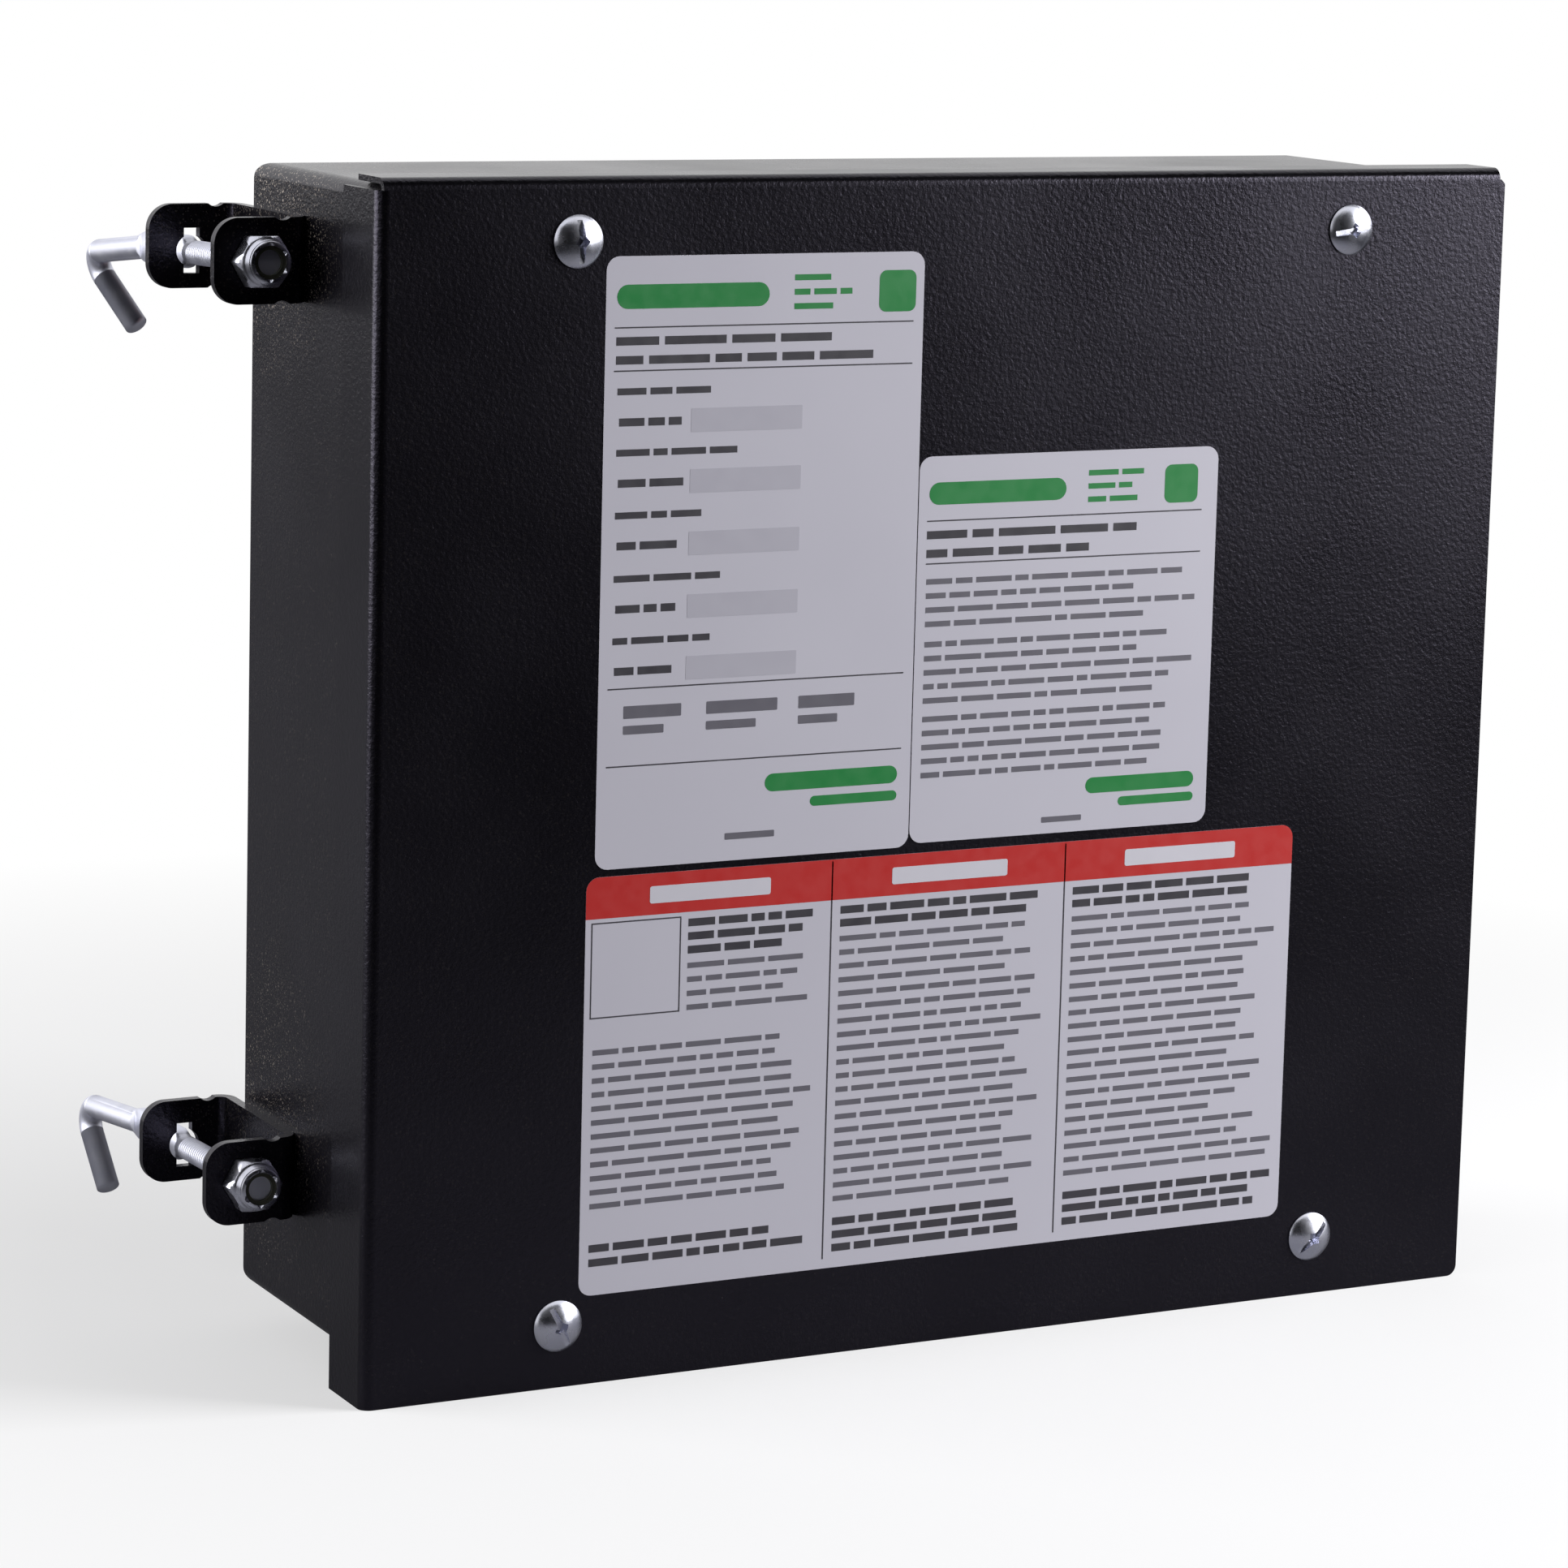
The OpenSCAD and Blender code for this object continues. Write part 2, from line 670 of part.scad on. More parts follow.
// Bend and return leg, from the end of the rod, in the plane of the rod and -Z
module hook_end() {
    bend_angle = 180 - hook_mouth;
    translate([0, 0, -hook_bend_r]) rotate([0, 90, 0]) rotate([0, 0, 180 - bend_angle])
        rotate_extrude(angle = bend_angle) translate([hook_bend_r, 0]) circle(d = hook_rod_d + bend_swell);
    translate([0, 0, -hook_bend_r]) rotate([-bend_angle, 0, 0]) translate([0, 0, hook_bend_r])
        rod_y(hook_rod_d, -bend_lap, return_l);
}

module hook_bolt(turn) {
    chamfer = 0.8;
    press_l = 4;
    rod_y(hook_rod_d, bolt_end + chamfer, blade_start + press_l / 4);
    translate([0, bolt_end, 0]) rotate([-90, 0, 0])
        cylinder(d1 = hook_rod_d - 2 * chamfer, d2 = hook_rod_d, h = chamfer + eps);
    blade();
    translate([0, blade_end - press_l, 0]) rotate([-shank_set, 0, 0]) {
        rod_y(hook_rod_d, press_l / 2, press_l + shank_l + bend_lap);
        translate([0, press_l + shank_l, 0]) rotate([0, -turn, 0]) hook_end();
    }
}

module upper_hook_bolt() color(bright_zinc) on_hook_axis(upper_hook_z) hook_bolt(upper_hook_turn);
module lower_hook_bolt() color(bright_zinc) on_hook_axis(lower_hook_z) hook_bolt(lower_hook_turn);

// Hexagon lock nut with a crimped collar, drawn on the hook's axis
module lock_nut() {
    bore_d = hook_rod_d + 2 * nut_bore_gap;
    insert_d = collar_d - 2 * collar_wall;
    corner_d = nut_af / cos(30);
    bevel = 1.2;
    face_in = 0.3;
    collar_lip = 0.5;
    nicks = 6;
    nick_w = 0.5;
    nick_in = 0.6;
    difference() {
        union() {
            intersection() {
                translate([0, nut_back, 0]) rotate([90, 0, 0]) hex_prism(nut_af, nut_hex_h);
                translate([0, nut_back, 0]) rotate([90, 0, 0]) union() {
                    cylinder(d = corner_d, h = nut_hex_h - bevel);
                    translate([0, 0, nut_hex_h - bevel])
                        cylinder(d1 = corner_d, d2 = nut_af - 2 * face_in, h = bevel);
                }
            }
            rod_y(collar_d, nut_front + collar_rim, nut_back - nut_hex_h + eps);
            translate([0, nut_front, 0]) rotate([-90, 0, 0])
                cylinder(d1 = collar_d - 2 * collar_rim, d2 = collar_d, h = collar_rim + eps);
        }
        rod_y(bore_d, nut_front - cut, nut_back + cut);
        rod_y(insert_d, nut_front + collar_rim, nut_front + collar_rim + insert_h);
        rod_y(insert_d - 2 * collar_lip, nut_front - cut, nut_front + collar_rim + cut / 2);
        for (i = [0 : nicks - 1])
            rotate([0, i * 360 / nicks, 0])
                translate([insert_d / 2 - nick_in, nut_front - cut, -nick_w / 2])
                    cube([collar_wall, collar_rim * 0.6 + cut, nick_w]);
    }
}

module nut_insert() {
    bore_d = hook_rod_d + 2 * nut_bore_gap;
    insert_d = collar_d - 2 * collar_wall;
    difference() {
        rod_y(insert_d, nut_front + collar_rim, nut_front + collar_rim + insert_h);
        rod_y(bore_d, nut_front, nut_back);
    }
}

module upper_lock_nut() color(bright_zinc) on_hook_axis(upper_hook_z) lock_nut();
module lower_lock_nut() color(bright_zinc) on_hook_axis(lower_hook_z) lock_nut();
module upper_nut_insert() color(nylon) on_hook_axis(upper_hook_z) nut_insert();
module lower_nut_insert() color(nylon) on_hook_axis(lower_hook_z) nut_insert();

// --- Stab base ---

module stab_base() {
    color(moulding) difference() {
        union() {
            along_y(base_front, rear_inside) round_rect(base_w, base_h, base_corner_r);
            along_y(rear_inside - eps, 0)
                round_rect(cutout_w - 2 * cutout_gap, cutout_h - 2 * cutout_gap, base_corner_r - cutout_gap);
            for (z = sleeve_rows)
                translate([0, 0, z]) along_y(-eps, sleeve_l)
                round_rect(sleeve_w, sleeve_h, sleeve_corner_r);
        }
        for (z = sleeve_rows) translate([0, 0, z]) {
            along_y(cavity_y, sleeve_l + cut)
                round_rect(sleeve_w - 2 * sleeve_wall, sleeve_h - 2 * sleeve_wall,
                           sleeve_corner_r - sleeve_wall / 2);
            along_y(base_front - cut, finger_root)
                square([jaw_w + 2 * jaw_slot_gap, jaw_t + 2 * jaw_slot_gap], center = true);
        }
        for (sx = [-1, 1], sz = [-1, 1])
            translate([sx * base_screw_x, 0, sz * base_screw_z])
                rod_y(base_screw_d + 2 * screw_bore_gap, base_front - cut, rear_inside + cut);
    }
}

module stab_base_screws() {
    color(screw_steel) for (sx = [-1, 1], sz = [-1, 1])
        translate([sx * base_screw_x, 0, sz * base_screw_z])
            pan_screw(base_screw_d, base_screw_head_d, base_screw_head_h, base_front,
                      base_t + sheet_t - screw_short);
}

// Jaw from the side, in Y and Z: foot, tail and two fingers; foot_y is the strap's side
module jaw(row, foot_y) {
    root = jaw_t / 2;
    crest = root + finger_t;
    pinch = pinch_gap / 2;
    flare = flare_gap / 2;
    outline = [
        [foot_y, -root], [finger_root, -root], [finger_root, -crest], [spring_root, -crest],
        [pinch_y, -pinch - finger_t], [finger_tip, -flare - finger_t], [finger_tip, -flare],
        [pinch_y, -pinch], [spring_root, -root], [spring_root, root], [pinch_y, pinch],
        [finger_tip, flare], [finger_tip, flare + finger_t], [pinch_y, pinch + finger_t],
        [spring_root, crest], [finger_root, crest], [finger_root, root], [foot_y + jaw_t, root],
        [foot_y + jaw_t, foot_h], [foot_y, foot_h]
    ];
    translate([-jaw_w / 2, 0, row]) rotate([90, 0, 90])
        linear_extrude(height = jaw_w) polygon(outline);
}

// Spring leaves lying on the outside of the two fingers
module jaw_spring(row) {
    leaf_w = jaw_w - 2 * spring_inset;
    root = jaw_t / 2 + finger_t;
    pinch = pinch_gap / 2 + finger_t;
    leaf = [
        [finger_root, root], [spring_root, root], [pinch_y, pinch],
        [pinch_y, pinch + spring_t], [spring_root, root + spring_t], [finger_root, root + spring_t]
    ];
    translate([-leaf_w / 2, 0, row]) rotate([90, 0, 90])
        for (side = [-1, 1]) linear_extrude(height = leaf_w)
            polygon([for (corner = leaf) [corner[0], side * corner[1]]]);
}

module tapped_jaw(row, foot_y) {
    difference() {
        jaw(row, foot_y);
        translate([0, 0, row + foot_h / 2])
            rod_y(strap_screw_d + 2 * nut_bore_gap, foot_y - cut, foot_y + jaw_t + cut);
    }
}

module phase_jaw_a() color(tinned) tapped_jaw(jaw_row_a, strap_back);
module phase_jaw_b() color(tinned) tapped_jaw(jaw_row_b, strap_back);
module phase_jaw_c() color(tinned) tapped_jaw(jaw_row_c, strap_back);
module ground_jaw() color(tinned) tapped_jaw(ground_row, ground_back);
module jaw_spring_a() color(spring_steel) jaw_spring(jaw_row_a);
module jaw_spring_b() color(spring_steel) jaw_spring(jaw_row_b);
module jaw_spring_c() color(spring_steel) jaw_spring(jaw_row_c);
module ground_jaw_spring() color(spring_steel) jaw_spring(ground_row);

// --- Straps ---

// Flat strap from a jaw's foot across to a lug column and down to its tang
module phase_strap(row, column) {
    half = strap_w / 2;
    end_z = lug_bottom + 2;
    low_x = min(column, 0) - half;
    color(copper) difference() {
        union() {
            translate([low_x, strap_front, row]) cube([abs(column) + strap_w, strap_t, strap_w]);
            translate([column - half, strap_front, end_z]) cube([strap_w, strap_t, row + strap_w - end_z]);
        }
        translate([0, 0, row + foot_h / 2])
            rod_y(strap_screw_d + 2 * screw_bore_gap, strap_front - cut, strap_back + cut);
        translate([column, 0, tang_hole_z])
            rod_y(tang_screw_d + 2 * screw_bore_gap, strap_front - cut, strap_back + cut);
    }
}

module phase_strap_a() phase_strap(jaw_row_a, lug_columns[0]);
module phase_strap_b() phase_strap(jaw_row_b, lug_columns[1]);
module phase_strap_c() phase_strap(jaw_row_c, lug_columns[2]);

module flange_screw(y, len) {
    rod_y(strap_screw_d, y, y + len);
    rod_y(strap_flange_d, y - strap_flange_t, y);
    translate([0, y - strap_flange_t + eps, 0]) rotate([90, 0, 0]) hex_prism(strap_screw_af, strap_screw_h);
}

module strap_screws() {
    color(screw_steel) for (row = [jaw_row_a, jaw_row_b, jaw_row_c])
        translate([0, 0, row + foot_h / 2]) flange_screw(strap_front, strap_t + jaw_t + 1);
}

// --- Lugs ---

module terminal_base() {
    barrier_front = strap_front - barrier_h;
    pad_h = terminal_h;
    color(moulding) difference() {
        union() {
            translate([-terminal_w / 2, strap_back, terminal_bottom])
                cube([terminal_w, rear_inside - strap_back, terminal_h]);
            for (i = [0 : 3])
                translate([(i - 1.5) * lug_pitch - barrier_t / 2, barrier_front, terminal_bottom])
                    cube([barrier_t, strap_back - barrier_front + eps, pad_h]);
            translate([-terminal_w / 2 - terminal_ear, rear_inside - terminal_ear_t,
                       (terminal_top + terminal_bottom) / 2 - terminal_ear / 2])
                cube([terminal_w + 2 * terminal_ear, terminal_ear_t, terminal_ear]);
        }
        for (x = lug_columns)
            translate([x, 0, tang_hole_z])
                rod_y(tang_screw_d + 2 * nut_bore_gap, strap_back - cut, strap_back + tang_bore_l);
        for (sx = [-1, 1])
            translate([sx * (terminal_w + terminal_ear) / 2, 0, (terminal_top + terminal_bottom) / 2])
                rod_y(base_screw_d + 2 * screw_bore_gap, rear_inside - terminal_ear_t - cut, cut);
    }
}

module terminal_base_screws() {
    color(screw_steel) for (sx = [-1, 1])
        translate([sx * (terminal_w + terminal_ear) / 2, 0, (terminal_top + terminal_bottom) / 2])
            pan_screw(base_screw_d, base_screw_head_d, base_screw_head_h,
                      rear_inside - terminal_ear_t, terminal_ear_t + sheet_t - screw_short);
}

module wire_lug(column) {
    chamfer = 2;
    color(lug_metal) difference() {
        translate([column - lug_w / 2, 0, lug_bottom]) rotate([90, 0, 90]) linear_extrude(height = lug_w)
            polygon([
                [strap_front, 0], [strap_front, lug_l + tang_l], [strap_front - tang_t, lug_l + tang_l],
                [strap_front - tang_t, lug_l + chamfer], [strap_front - tang_t - chamfer, lug_l],
                [lug_front + chamfer, lug_l], [lug_front, lug_l - chamfer],
                [lug_front, chamfer], [lug_front + chamfer, 0]
            ]);
        translate([column, wire_y, lug_bottom - cut]) cylinder(d = wire_d, h = lug_l + 2 * cut + 3);
        translate([column, 0, set_screw_z]) rod_y(set_screw_d + 2 * nut_bore_gap, lug_front - cut, wire_y);
        translate([column, 0, tang_hole_z])
            rod_y(tang_screw_d + 2 * screw_bore_gap, strap_front - tang_t - cut, strap_front + cut);
    }
}

module wire_lug_a() wire_lug(lug_columns[0]);
module wire_lug_b() wire_lug(lug_columns[1]);
module wire_lug_c() wire_lug(lug_columns[2]);

module lug_tang_screws() {
    color(screw_steel) for (x = lug_columns) translate([x, 0, tang_hole_z])
        pan_screw(tang_screw_d, tang_screw_head_d, tang_screw_head_h, strap_front - tang_t,
                  tang_t + strap_t + tang_screw_bite);
}

// Socket set screw along Y, its face towards the cover
module set_screw(d, af, y, len) {
    difference() {
        rod_y(d, y, y + len);
        translate([0, y + len * 0.5, 0]) rotate([90, 0, 0]) hex_prism(af, len);
    }
}

module lug_set_screws() {
    color(screw_steel) for (x = lug_columns) translate([x, 0, set_screw_z])
        set_screw(set_screw_d, set_screw_af, lug_front - set_screw_proud, set_screw_l);
}

// --- Ground path ---

module ground_strap() {
    t = ground_strap_t;
    slope_in = t / 2;
    y_up = ground_front;
    y_down = rear_inside - t;
    color(copper) difference() {
        translate([0, 0, ground_row]) linear_extrude(height = strap_w)
            polygon([
                [-strap_w / 2, y_up], [ground_step_x, y_up], [ground_land_x, y_down], [ground_strap_end, y_down],
                [ground_strap_end, y_down + t], [ground_land_x - slope_in, y_down + t],
                [ground_step_x - slope_in, y_up + t],
                [-strap_w / 2, y_up + t]
            ]);
        translate([0, 0, ground_z])
            rod_y(strap_screw_d + 2 * screw_bore_gap, y_up - cut, y_up + t + cut);
        translate([ground_lug_x, 0, ground_z])
            rod_y(ground_screw_d + 2 * screw_bore_gap, y_down - cut, y_down + t + cut);
    }
}

module ground_strap_screw() {
    color(screw_steel) translate([0, 0, ground_z])
        flange_screw(ground_front, ground_strap_t + jaw_t);
}

module ground_lug() {
    back = rear_inside - ground_strap_t;
    tang = ground_tang_t;
    low = ground_lug_low;
    chamfer = 1.5;
    color(lug_metal) difference() {
        translate([ground_lug_x - ground_lug_w / 2, 0, low]) rotate([90, 0, 90])
            linear_extrude(height = ground_lug_w)
                polygon([
                    [back, 0], [back, ground_lug_l + ground_tang_l], [back - tang, ground_lug_l + ground_tang_l],
                    [back - tang, ground_lug_l + chamfer], [back - tang - chamfer, ground_lug_l],
                    [ground_lug_front + chamfer, ground_lug_l], [ground_lug_front, ground_lug_l - chamfer],
                    [ground_lug_front, chamfer], [ground_lug_front + chamfer, 0]
                ]);
        translate([ground_lug_x, back - tang - ground_wire_d / 2 + 1, low - cut])
            cylinder(d = ground_wire_d, h = ground_lug_l + 2 * cut + 2);
        translate([ground_lug_x, 0, low + ground_lug_l / 2])
            rod_y(ground_set_d + 2 * nut_bore_gap, ground_lug_front - cut, back - tang - ground_wire_d / 2);
        translate([ground_lug_x, 0, ground_z])
            rod_y(ground_screw_d + 2 * screw_bore_gap, back - tang - cut, back + cut);
    }
}

module ground_lug_screw() {
    color(screw_steel) translate([ground_lug_x, 0, ground_z])
        pan_screw(ground_screw_d, ground_screw_head_d, ground_screw_head_h,
                  rear_inside - ground_strap_t - ground_tang_t,
                  ground_strap_t + ground_tang_t + sheet_t - screw_short);
}

module ground_set_screw() {
    color(screw_steel) translate([ground_lug_x, 0, ground_lug_low + ground_lug_l / 2])
        set_screw(ground_set_d, ground_set_af, ground_lug_front - set_screw_proud, ground_set_l);
}

back_box();
front_cover();
cover_screws();
cover_weld_nuts();
knockout_slugs();
upper_clamp_bracket();
lower_clamp_bracket();
upper_hook_bolt();
lower_hook_bolt();
upper_lock_nut();
lower_lock_nut();
upper_nut_insert();
lower_nut_insert();
stab_base();
stab_base_screws();
phase_jaw_a();
phase_jaw_b();
phase_jaw_c();
ground_jaw();
jaw_spring_a();
jaw_spring_b();
jaw_spring_c();
ground_jaw_spring();
phase_strap_a();
phase_strap_b();
phase_strap_c();
strap_screws();
terminal_base();
terminal_base_screws();
wire_lug_a();
wire_lug_b();
wire_lug_c();
lug_tang_screws();
lug_set_screws();
ground_strap();
ground_strap_screw();
ground_lug();
ground_lug_screw();
ground_set_screw();
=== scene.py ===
"""Finishes, bolt threads, labels and stage for a busway tap off box.

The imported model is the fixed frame. Every piece made here takes its place from it, in metres.
"""
import json
import math

import bmesh
import bpy
from bpy.props import FloatProperty, FloatVectorProperty, PointerProperty
from mathutils import Matrix, Vector


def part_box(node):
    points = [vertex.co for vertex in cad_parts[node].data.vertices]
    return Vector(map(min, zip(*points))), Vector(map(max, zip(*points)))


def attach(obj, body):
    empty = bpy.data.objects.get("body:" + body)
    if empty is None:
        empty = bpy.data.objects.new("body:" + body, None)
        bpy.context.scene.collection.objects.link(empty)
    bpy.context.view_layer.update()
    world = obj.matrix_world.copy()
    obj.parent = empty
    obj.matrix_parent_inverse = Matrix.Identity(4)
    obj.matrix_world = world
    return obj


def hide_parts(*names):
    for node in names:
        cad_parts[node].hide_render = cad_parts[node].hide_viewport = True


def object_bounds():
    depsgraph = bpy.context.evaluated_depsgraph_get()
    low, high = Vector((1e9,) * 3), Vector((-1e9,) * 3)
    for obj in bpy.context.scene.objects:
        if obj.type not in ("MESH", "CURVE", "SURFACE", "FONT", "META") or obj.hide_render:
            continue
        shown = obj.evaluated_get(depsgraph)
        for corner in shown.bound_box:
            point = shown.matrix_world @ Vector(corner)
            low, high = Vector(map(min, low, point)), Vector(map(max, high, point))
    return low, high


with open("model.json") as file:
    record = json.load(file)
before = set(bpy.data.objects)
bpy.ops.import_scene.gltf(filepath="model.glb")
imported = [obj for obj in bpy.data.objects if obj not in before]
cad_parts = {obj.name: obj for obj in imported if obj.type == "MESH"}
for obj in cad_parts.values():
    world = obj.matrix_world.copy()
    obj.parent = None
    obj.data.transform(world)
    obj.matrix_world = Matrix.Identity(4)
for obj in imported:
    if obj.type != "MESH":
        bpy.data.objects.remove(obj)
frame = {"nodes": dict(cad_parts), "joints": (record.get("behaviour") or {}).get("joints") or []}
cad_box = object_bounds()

bl_info = {
    "name": "Busway tap off box",
    "version": (1, 0, 0),
    "blender": (4, 5, 0),
    "location": "View3D > Sidebar > Tap off box",
    "description": "Finishes, threads, labels and stage for a busway tap off box",
    "category": "Object",
}

MM = 0.001
joints = {joint["name"]: joint for joint in frame["joints"]}


# --- Colours and nodes ---

def linear(code):
    """An sRGB hex colour as linear RGBA."""
    parts = [int(code[i:i + 2], 16) / 255 for i in (1, 3, 5)]
    return [c / 12.92 if c <= 0.04045 else ((c + 0.055) / 1.055) ** 2.4 for c in parts] + [1.0]


def socket_named(sockets, key):
    """The socket in use with this name, or with this number."""
    if isinstance(key, int):
        return sockets[key]
    return next(s for s in sockets if s.name == key and s.enabled)


def add(tree, kind, inputs=None, **settings):
    """Adds a node with its settings; each input is a value or another node's output."""
    node = tree.nodes.new(kind)
    for name, value in settings.items():
        setattr(node, name, value)
    for key, value in (inputs or {}).items():
        socket = socket_named(node.inputs, key)
        if isinstance(value, bpy.types.NodeSocket):
            tree.links.new(value, socket)
        else:
            socket.default_value = value
    return node


def new_finish(name, colour, roughness, metallic=0.0, **uniform):
    """A material with one Principled shader; returns it with its tree and shader."""
    material = bpy.data.materials.new(name)
    material.use_nodes = True
    tree = material.node_tree
    tree.nodes.clear()
    shader = add(tree, "ShaderNodeBsdfPrincipled", {
        "Base Color": linear(colour), "Roughness": roughness, "Metallic": metallic,
        **{key.replace("_", " "): value for key, value in uniform.items()},
    })
    out = add(tree, "ShaderNodeOutputMaterial")
    tree.links.new(shader.outputs["BSDF"], out.inputs["Surface"])
    return material, tree, shader


def object_place(tree):
    """Object coordinates, in metres."""
    return add(tree, "ShaderNodeTexCoord").outputs["Object"]


def grain(tree, place, size, detail=2.0, roughness=0.5):
    """Noise whose features are about size metres across."""
    return add(tree, "ShaderNodeTexNoise", {
        "Vector": place, "Scale": 1 / size, "Detail": detail, "Roughness": roughness,
    }).outputs["Fac"]


def spread(tree, value, low, high, to_low=0.0, to_high=1.0):
    """Stretches the part of a value between low and high over another range."""
    return add(tree, "ShaderNodeMapRange", {
        "Value": value, "From Min": low, "From Max": high, "To Min": to_low, "To Max": to_high,
    }).outputs["Result"]


def blend_colours(tree, factor, first, second):
    """A mix of two colours, each a hex code or another node's output."""
    first, second = (linear(c) if isinstance(c, str) else c for c in (first, second))
    mix = add(tree, "ShaderNodeMix", data_type="RGBA")
    for key, value in (("Factor", factor), ("A", first), ("B", second)):
        socket = socket_named(mix.inputs, key)
        if isinstance(value, bpy.types.NodeSocket):
            tree.links.new(value, socket)
        else:
            socket.default_value = value
    return socket_named(mix.outputs, "Result")


def times(tree, first, second):
    """The product of two values."""
    return add(tree, "ShaderNodeMath", {0: first, 1: second}, operation="MULTIPLY").outputs[0]


def plus(tree, first, second):
    """The sum of two values."""
    return add(tree, "ShaderNodeMath", {0: first, 1: second}, operation="ADD").outputs[0]


def bump(tree, shader, height, depth, strength=1.0):
    """Raises the surface by a height between 0 and 1 times depth metres."""
    node = add(tree, "ShaderNodeBump", {"Height": height, "Distance": depth, "Strength": strength})
    tree.links.new(node.outputs["Normal"], shader.inputs["Normal"])


def near(tree, place, centre, inner, outer):
    """1 within inner metres of a point, falling to 0 at outer."""
    far = add(tree, "ShaderNodeVectorMath", {0: place, 1: centre}, operation="DISTANCE")
    return spread(tree, far.outputs["Value"], outer, inner)


# --- Materials ---

def specks(tree, place, spacing, size):
    """Round specks up to size metres across, in most of the cells spacing metres apart."""
    cells = add(tree, "ShaderNodeTexVoronoi", {"Vector": place, "Scale": 1 / spacing}).outputs
    chance = add(tree, "ShaderNodeSeparateColor", {"Color": cells["Color"]}).outputs["Red"]
    reach = spread(tree, chance, 0.15, 1.0, 0.0, size / spacing / 2)
    inside = plus(tree, reach, times(tree, cells["Distance"], -1.0))
    return spread(tree, inside, 0.0, 0.08)


def powder_coat(name, dust):
    """Textured black polyester powder coat, sprayed and baked on steel sheet.

    The melt sets as a fine orange peel with a satin sheen that is a little uneven. Dust, from 0 for
    a wiped piece to 1, shows as pale specks, thickest round the upper clamp bracket.
    """
    finish = bpy.context.scene.tap_box_finish
    material, tree, shader = new_finish(name, "#0b0a0e", 0.27, IOR=1.5, Specular_IOR_Level=0.4,
                                        Specular_Tint=linear("#e9e2ff"))
    place = object_place(tree)
    peel = grain(tree, place, finish.peel_size, 1.5)
    grit = grain(tree, place, finish.peel_size / 3, 1.0)
    height = plus(tree, times(tree, peel, 0.72), times(tree, grit, 0.28))
    bump(tree, shader, height, finish.peel_depth, 1.0)
    drift = grain(tree, place, 60 * MM)
    tree.links.new(spread(tree, drift, 0.3, 0.7, 0.23, 0.31), shader.inputs["Roughness"])
    coat = blend_colours(tree, drift, "#09080b", "#0d0c10")
    # Dust up to 0.6 and 0.8 mm across, a little coarser than the real so that it shows
    amount = 0.05
    thick, thin = 12 * MM, 50 * MM
    for bracket, share in (("upper", 1.0), ("lower", 0.25)):
        lo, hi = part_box(bracket + "_clamp_bracket")
        centre = Vector((hi.x, (lo.y + hi.y) / 2 + 3 * MM, hi.z + 4 * MM))
        amount = plus(tree, amount, times(tree, near(tree, place, centre, thick, thin), share))
    patches = spread(tree, grain(tree, place, 9 * MM, 2.0), 0.35, 0.6, 0.45, 1.0)
    lying = times(tree, plus(tree, specks(tree, place, 0.7 * MM, 0.62 * MM),
                             specks(tree, place, 1.1 * MM, 0.78 * MM)), patches)
    tree.links.new(blend_colours(tree, times(tree, times(tree, lying, amount), dust), coat, "#c4b8ac"),
                   shader.inputs["Base Color"])
    return material


def bright_zinc(name, smooth, rough):
    """Bright zinc plate with a clear blue passivate on steel: a cool mirror, slightly clouded.

    Roughness runs from smooth on a turned head to rough on drawn rod, whose surface is duller.
    """
    material, tree, shader = new_finish(name, "#d6d8e6", (smooth + rough) / 2, 1.0)
    place = object_place(tree)
    cloud = grain(tree, place, 5 * MM, 3.0)
    tree.links.new(blend_colours(tree, cloud, "#cdd0e2", "#e2e2ea"), shader.inputs["Base Color"])
    tree.links.new(spread(tree, cloud, 0.3, 0.7, smooth, rough), shader.inputs["Roughness"])
    bump(tree, shader, grain(tree, place, 0.9 * MM, 2.0), 0.02 * MM, 0.35)
    return material


def plain_steel():
    """Plain plated steel of small screws: duller and greyer than the bright zinc."""
    material, tree, shader = new_finish("Dull zinc-plated steel", "#9a9b9c", 0.35, 1.0)
    place = object_place(tree)
    cloud = grain(tree, place, 3 * MM, 3.0)
    tree.links.new(blend_colours(tree, cloud, "#8b8d90", "#a9a9a8"), shader.inputs["Base Color"])
    tree.links.new(spread(tree, cloud, 0.3, 0.7, 0.28, 0.45), shader.inputs["Roughness"])
    return material


def spring_steel():
    """Tempered spring steel strip: dark blue-grey with rolling lines along its length."""
    material, tree, shader = new_finish("Blued spring steel", "#595d68", 0.32, 1.0)
    place = add(tree, "ShaderNodeMapping", {"Vector": object_place(tree), "Scale": (1, 0.05, 1)})
    lines = grain(tree, place.outputs["Vector"], 0.4 * MM, 2.0)
    tree.links.new(blend_colours(tree, lines, "#4a4f5e", "#6a6b70"), shader.inputs["Base Color"])
    return material


def rolled_metal(name, dark, light, roughness):
    """Rolled strip with fine lines along the bar and a slightly patchy tarnish."""
    material, tree, shader = new_finish(name, light, roughness, 1.0)
    place = object_place(tree)
    along = add(tree, "ShaderNodeMapping", {"Vector": place, "Scale": (0.05, 1, 1)})
    lines = grain(tree, along.outputs["Vector"], 0.5 * MM, 2.0)
    tarnish = grain(tree, place, 9 * MM, 3.0)
    mixed = plus(tree, times(tree, lines, 0.4), times(tree, tarnish, 0.6))
    tree.links.new(blend_colours(tree, spread(tree, mixed, 0.3, 0.7), dark, light),
                   shader.inputs["Base Color"])
    tree.links.new(spread(tree, mixed, 0.3, 0.7, roughness - 0.06, roughness + 0.08),
                   shader.inputs["Roughness"])
    bump(tree, shader, lines, 0.01 * MM, 0.3)
    return material


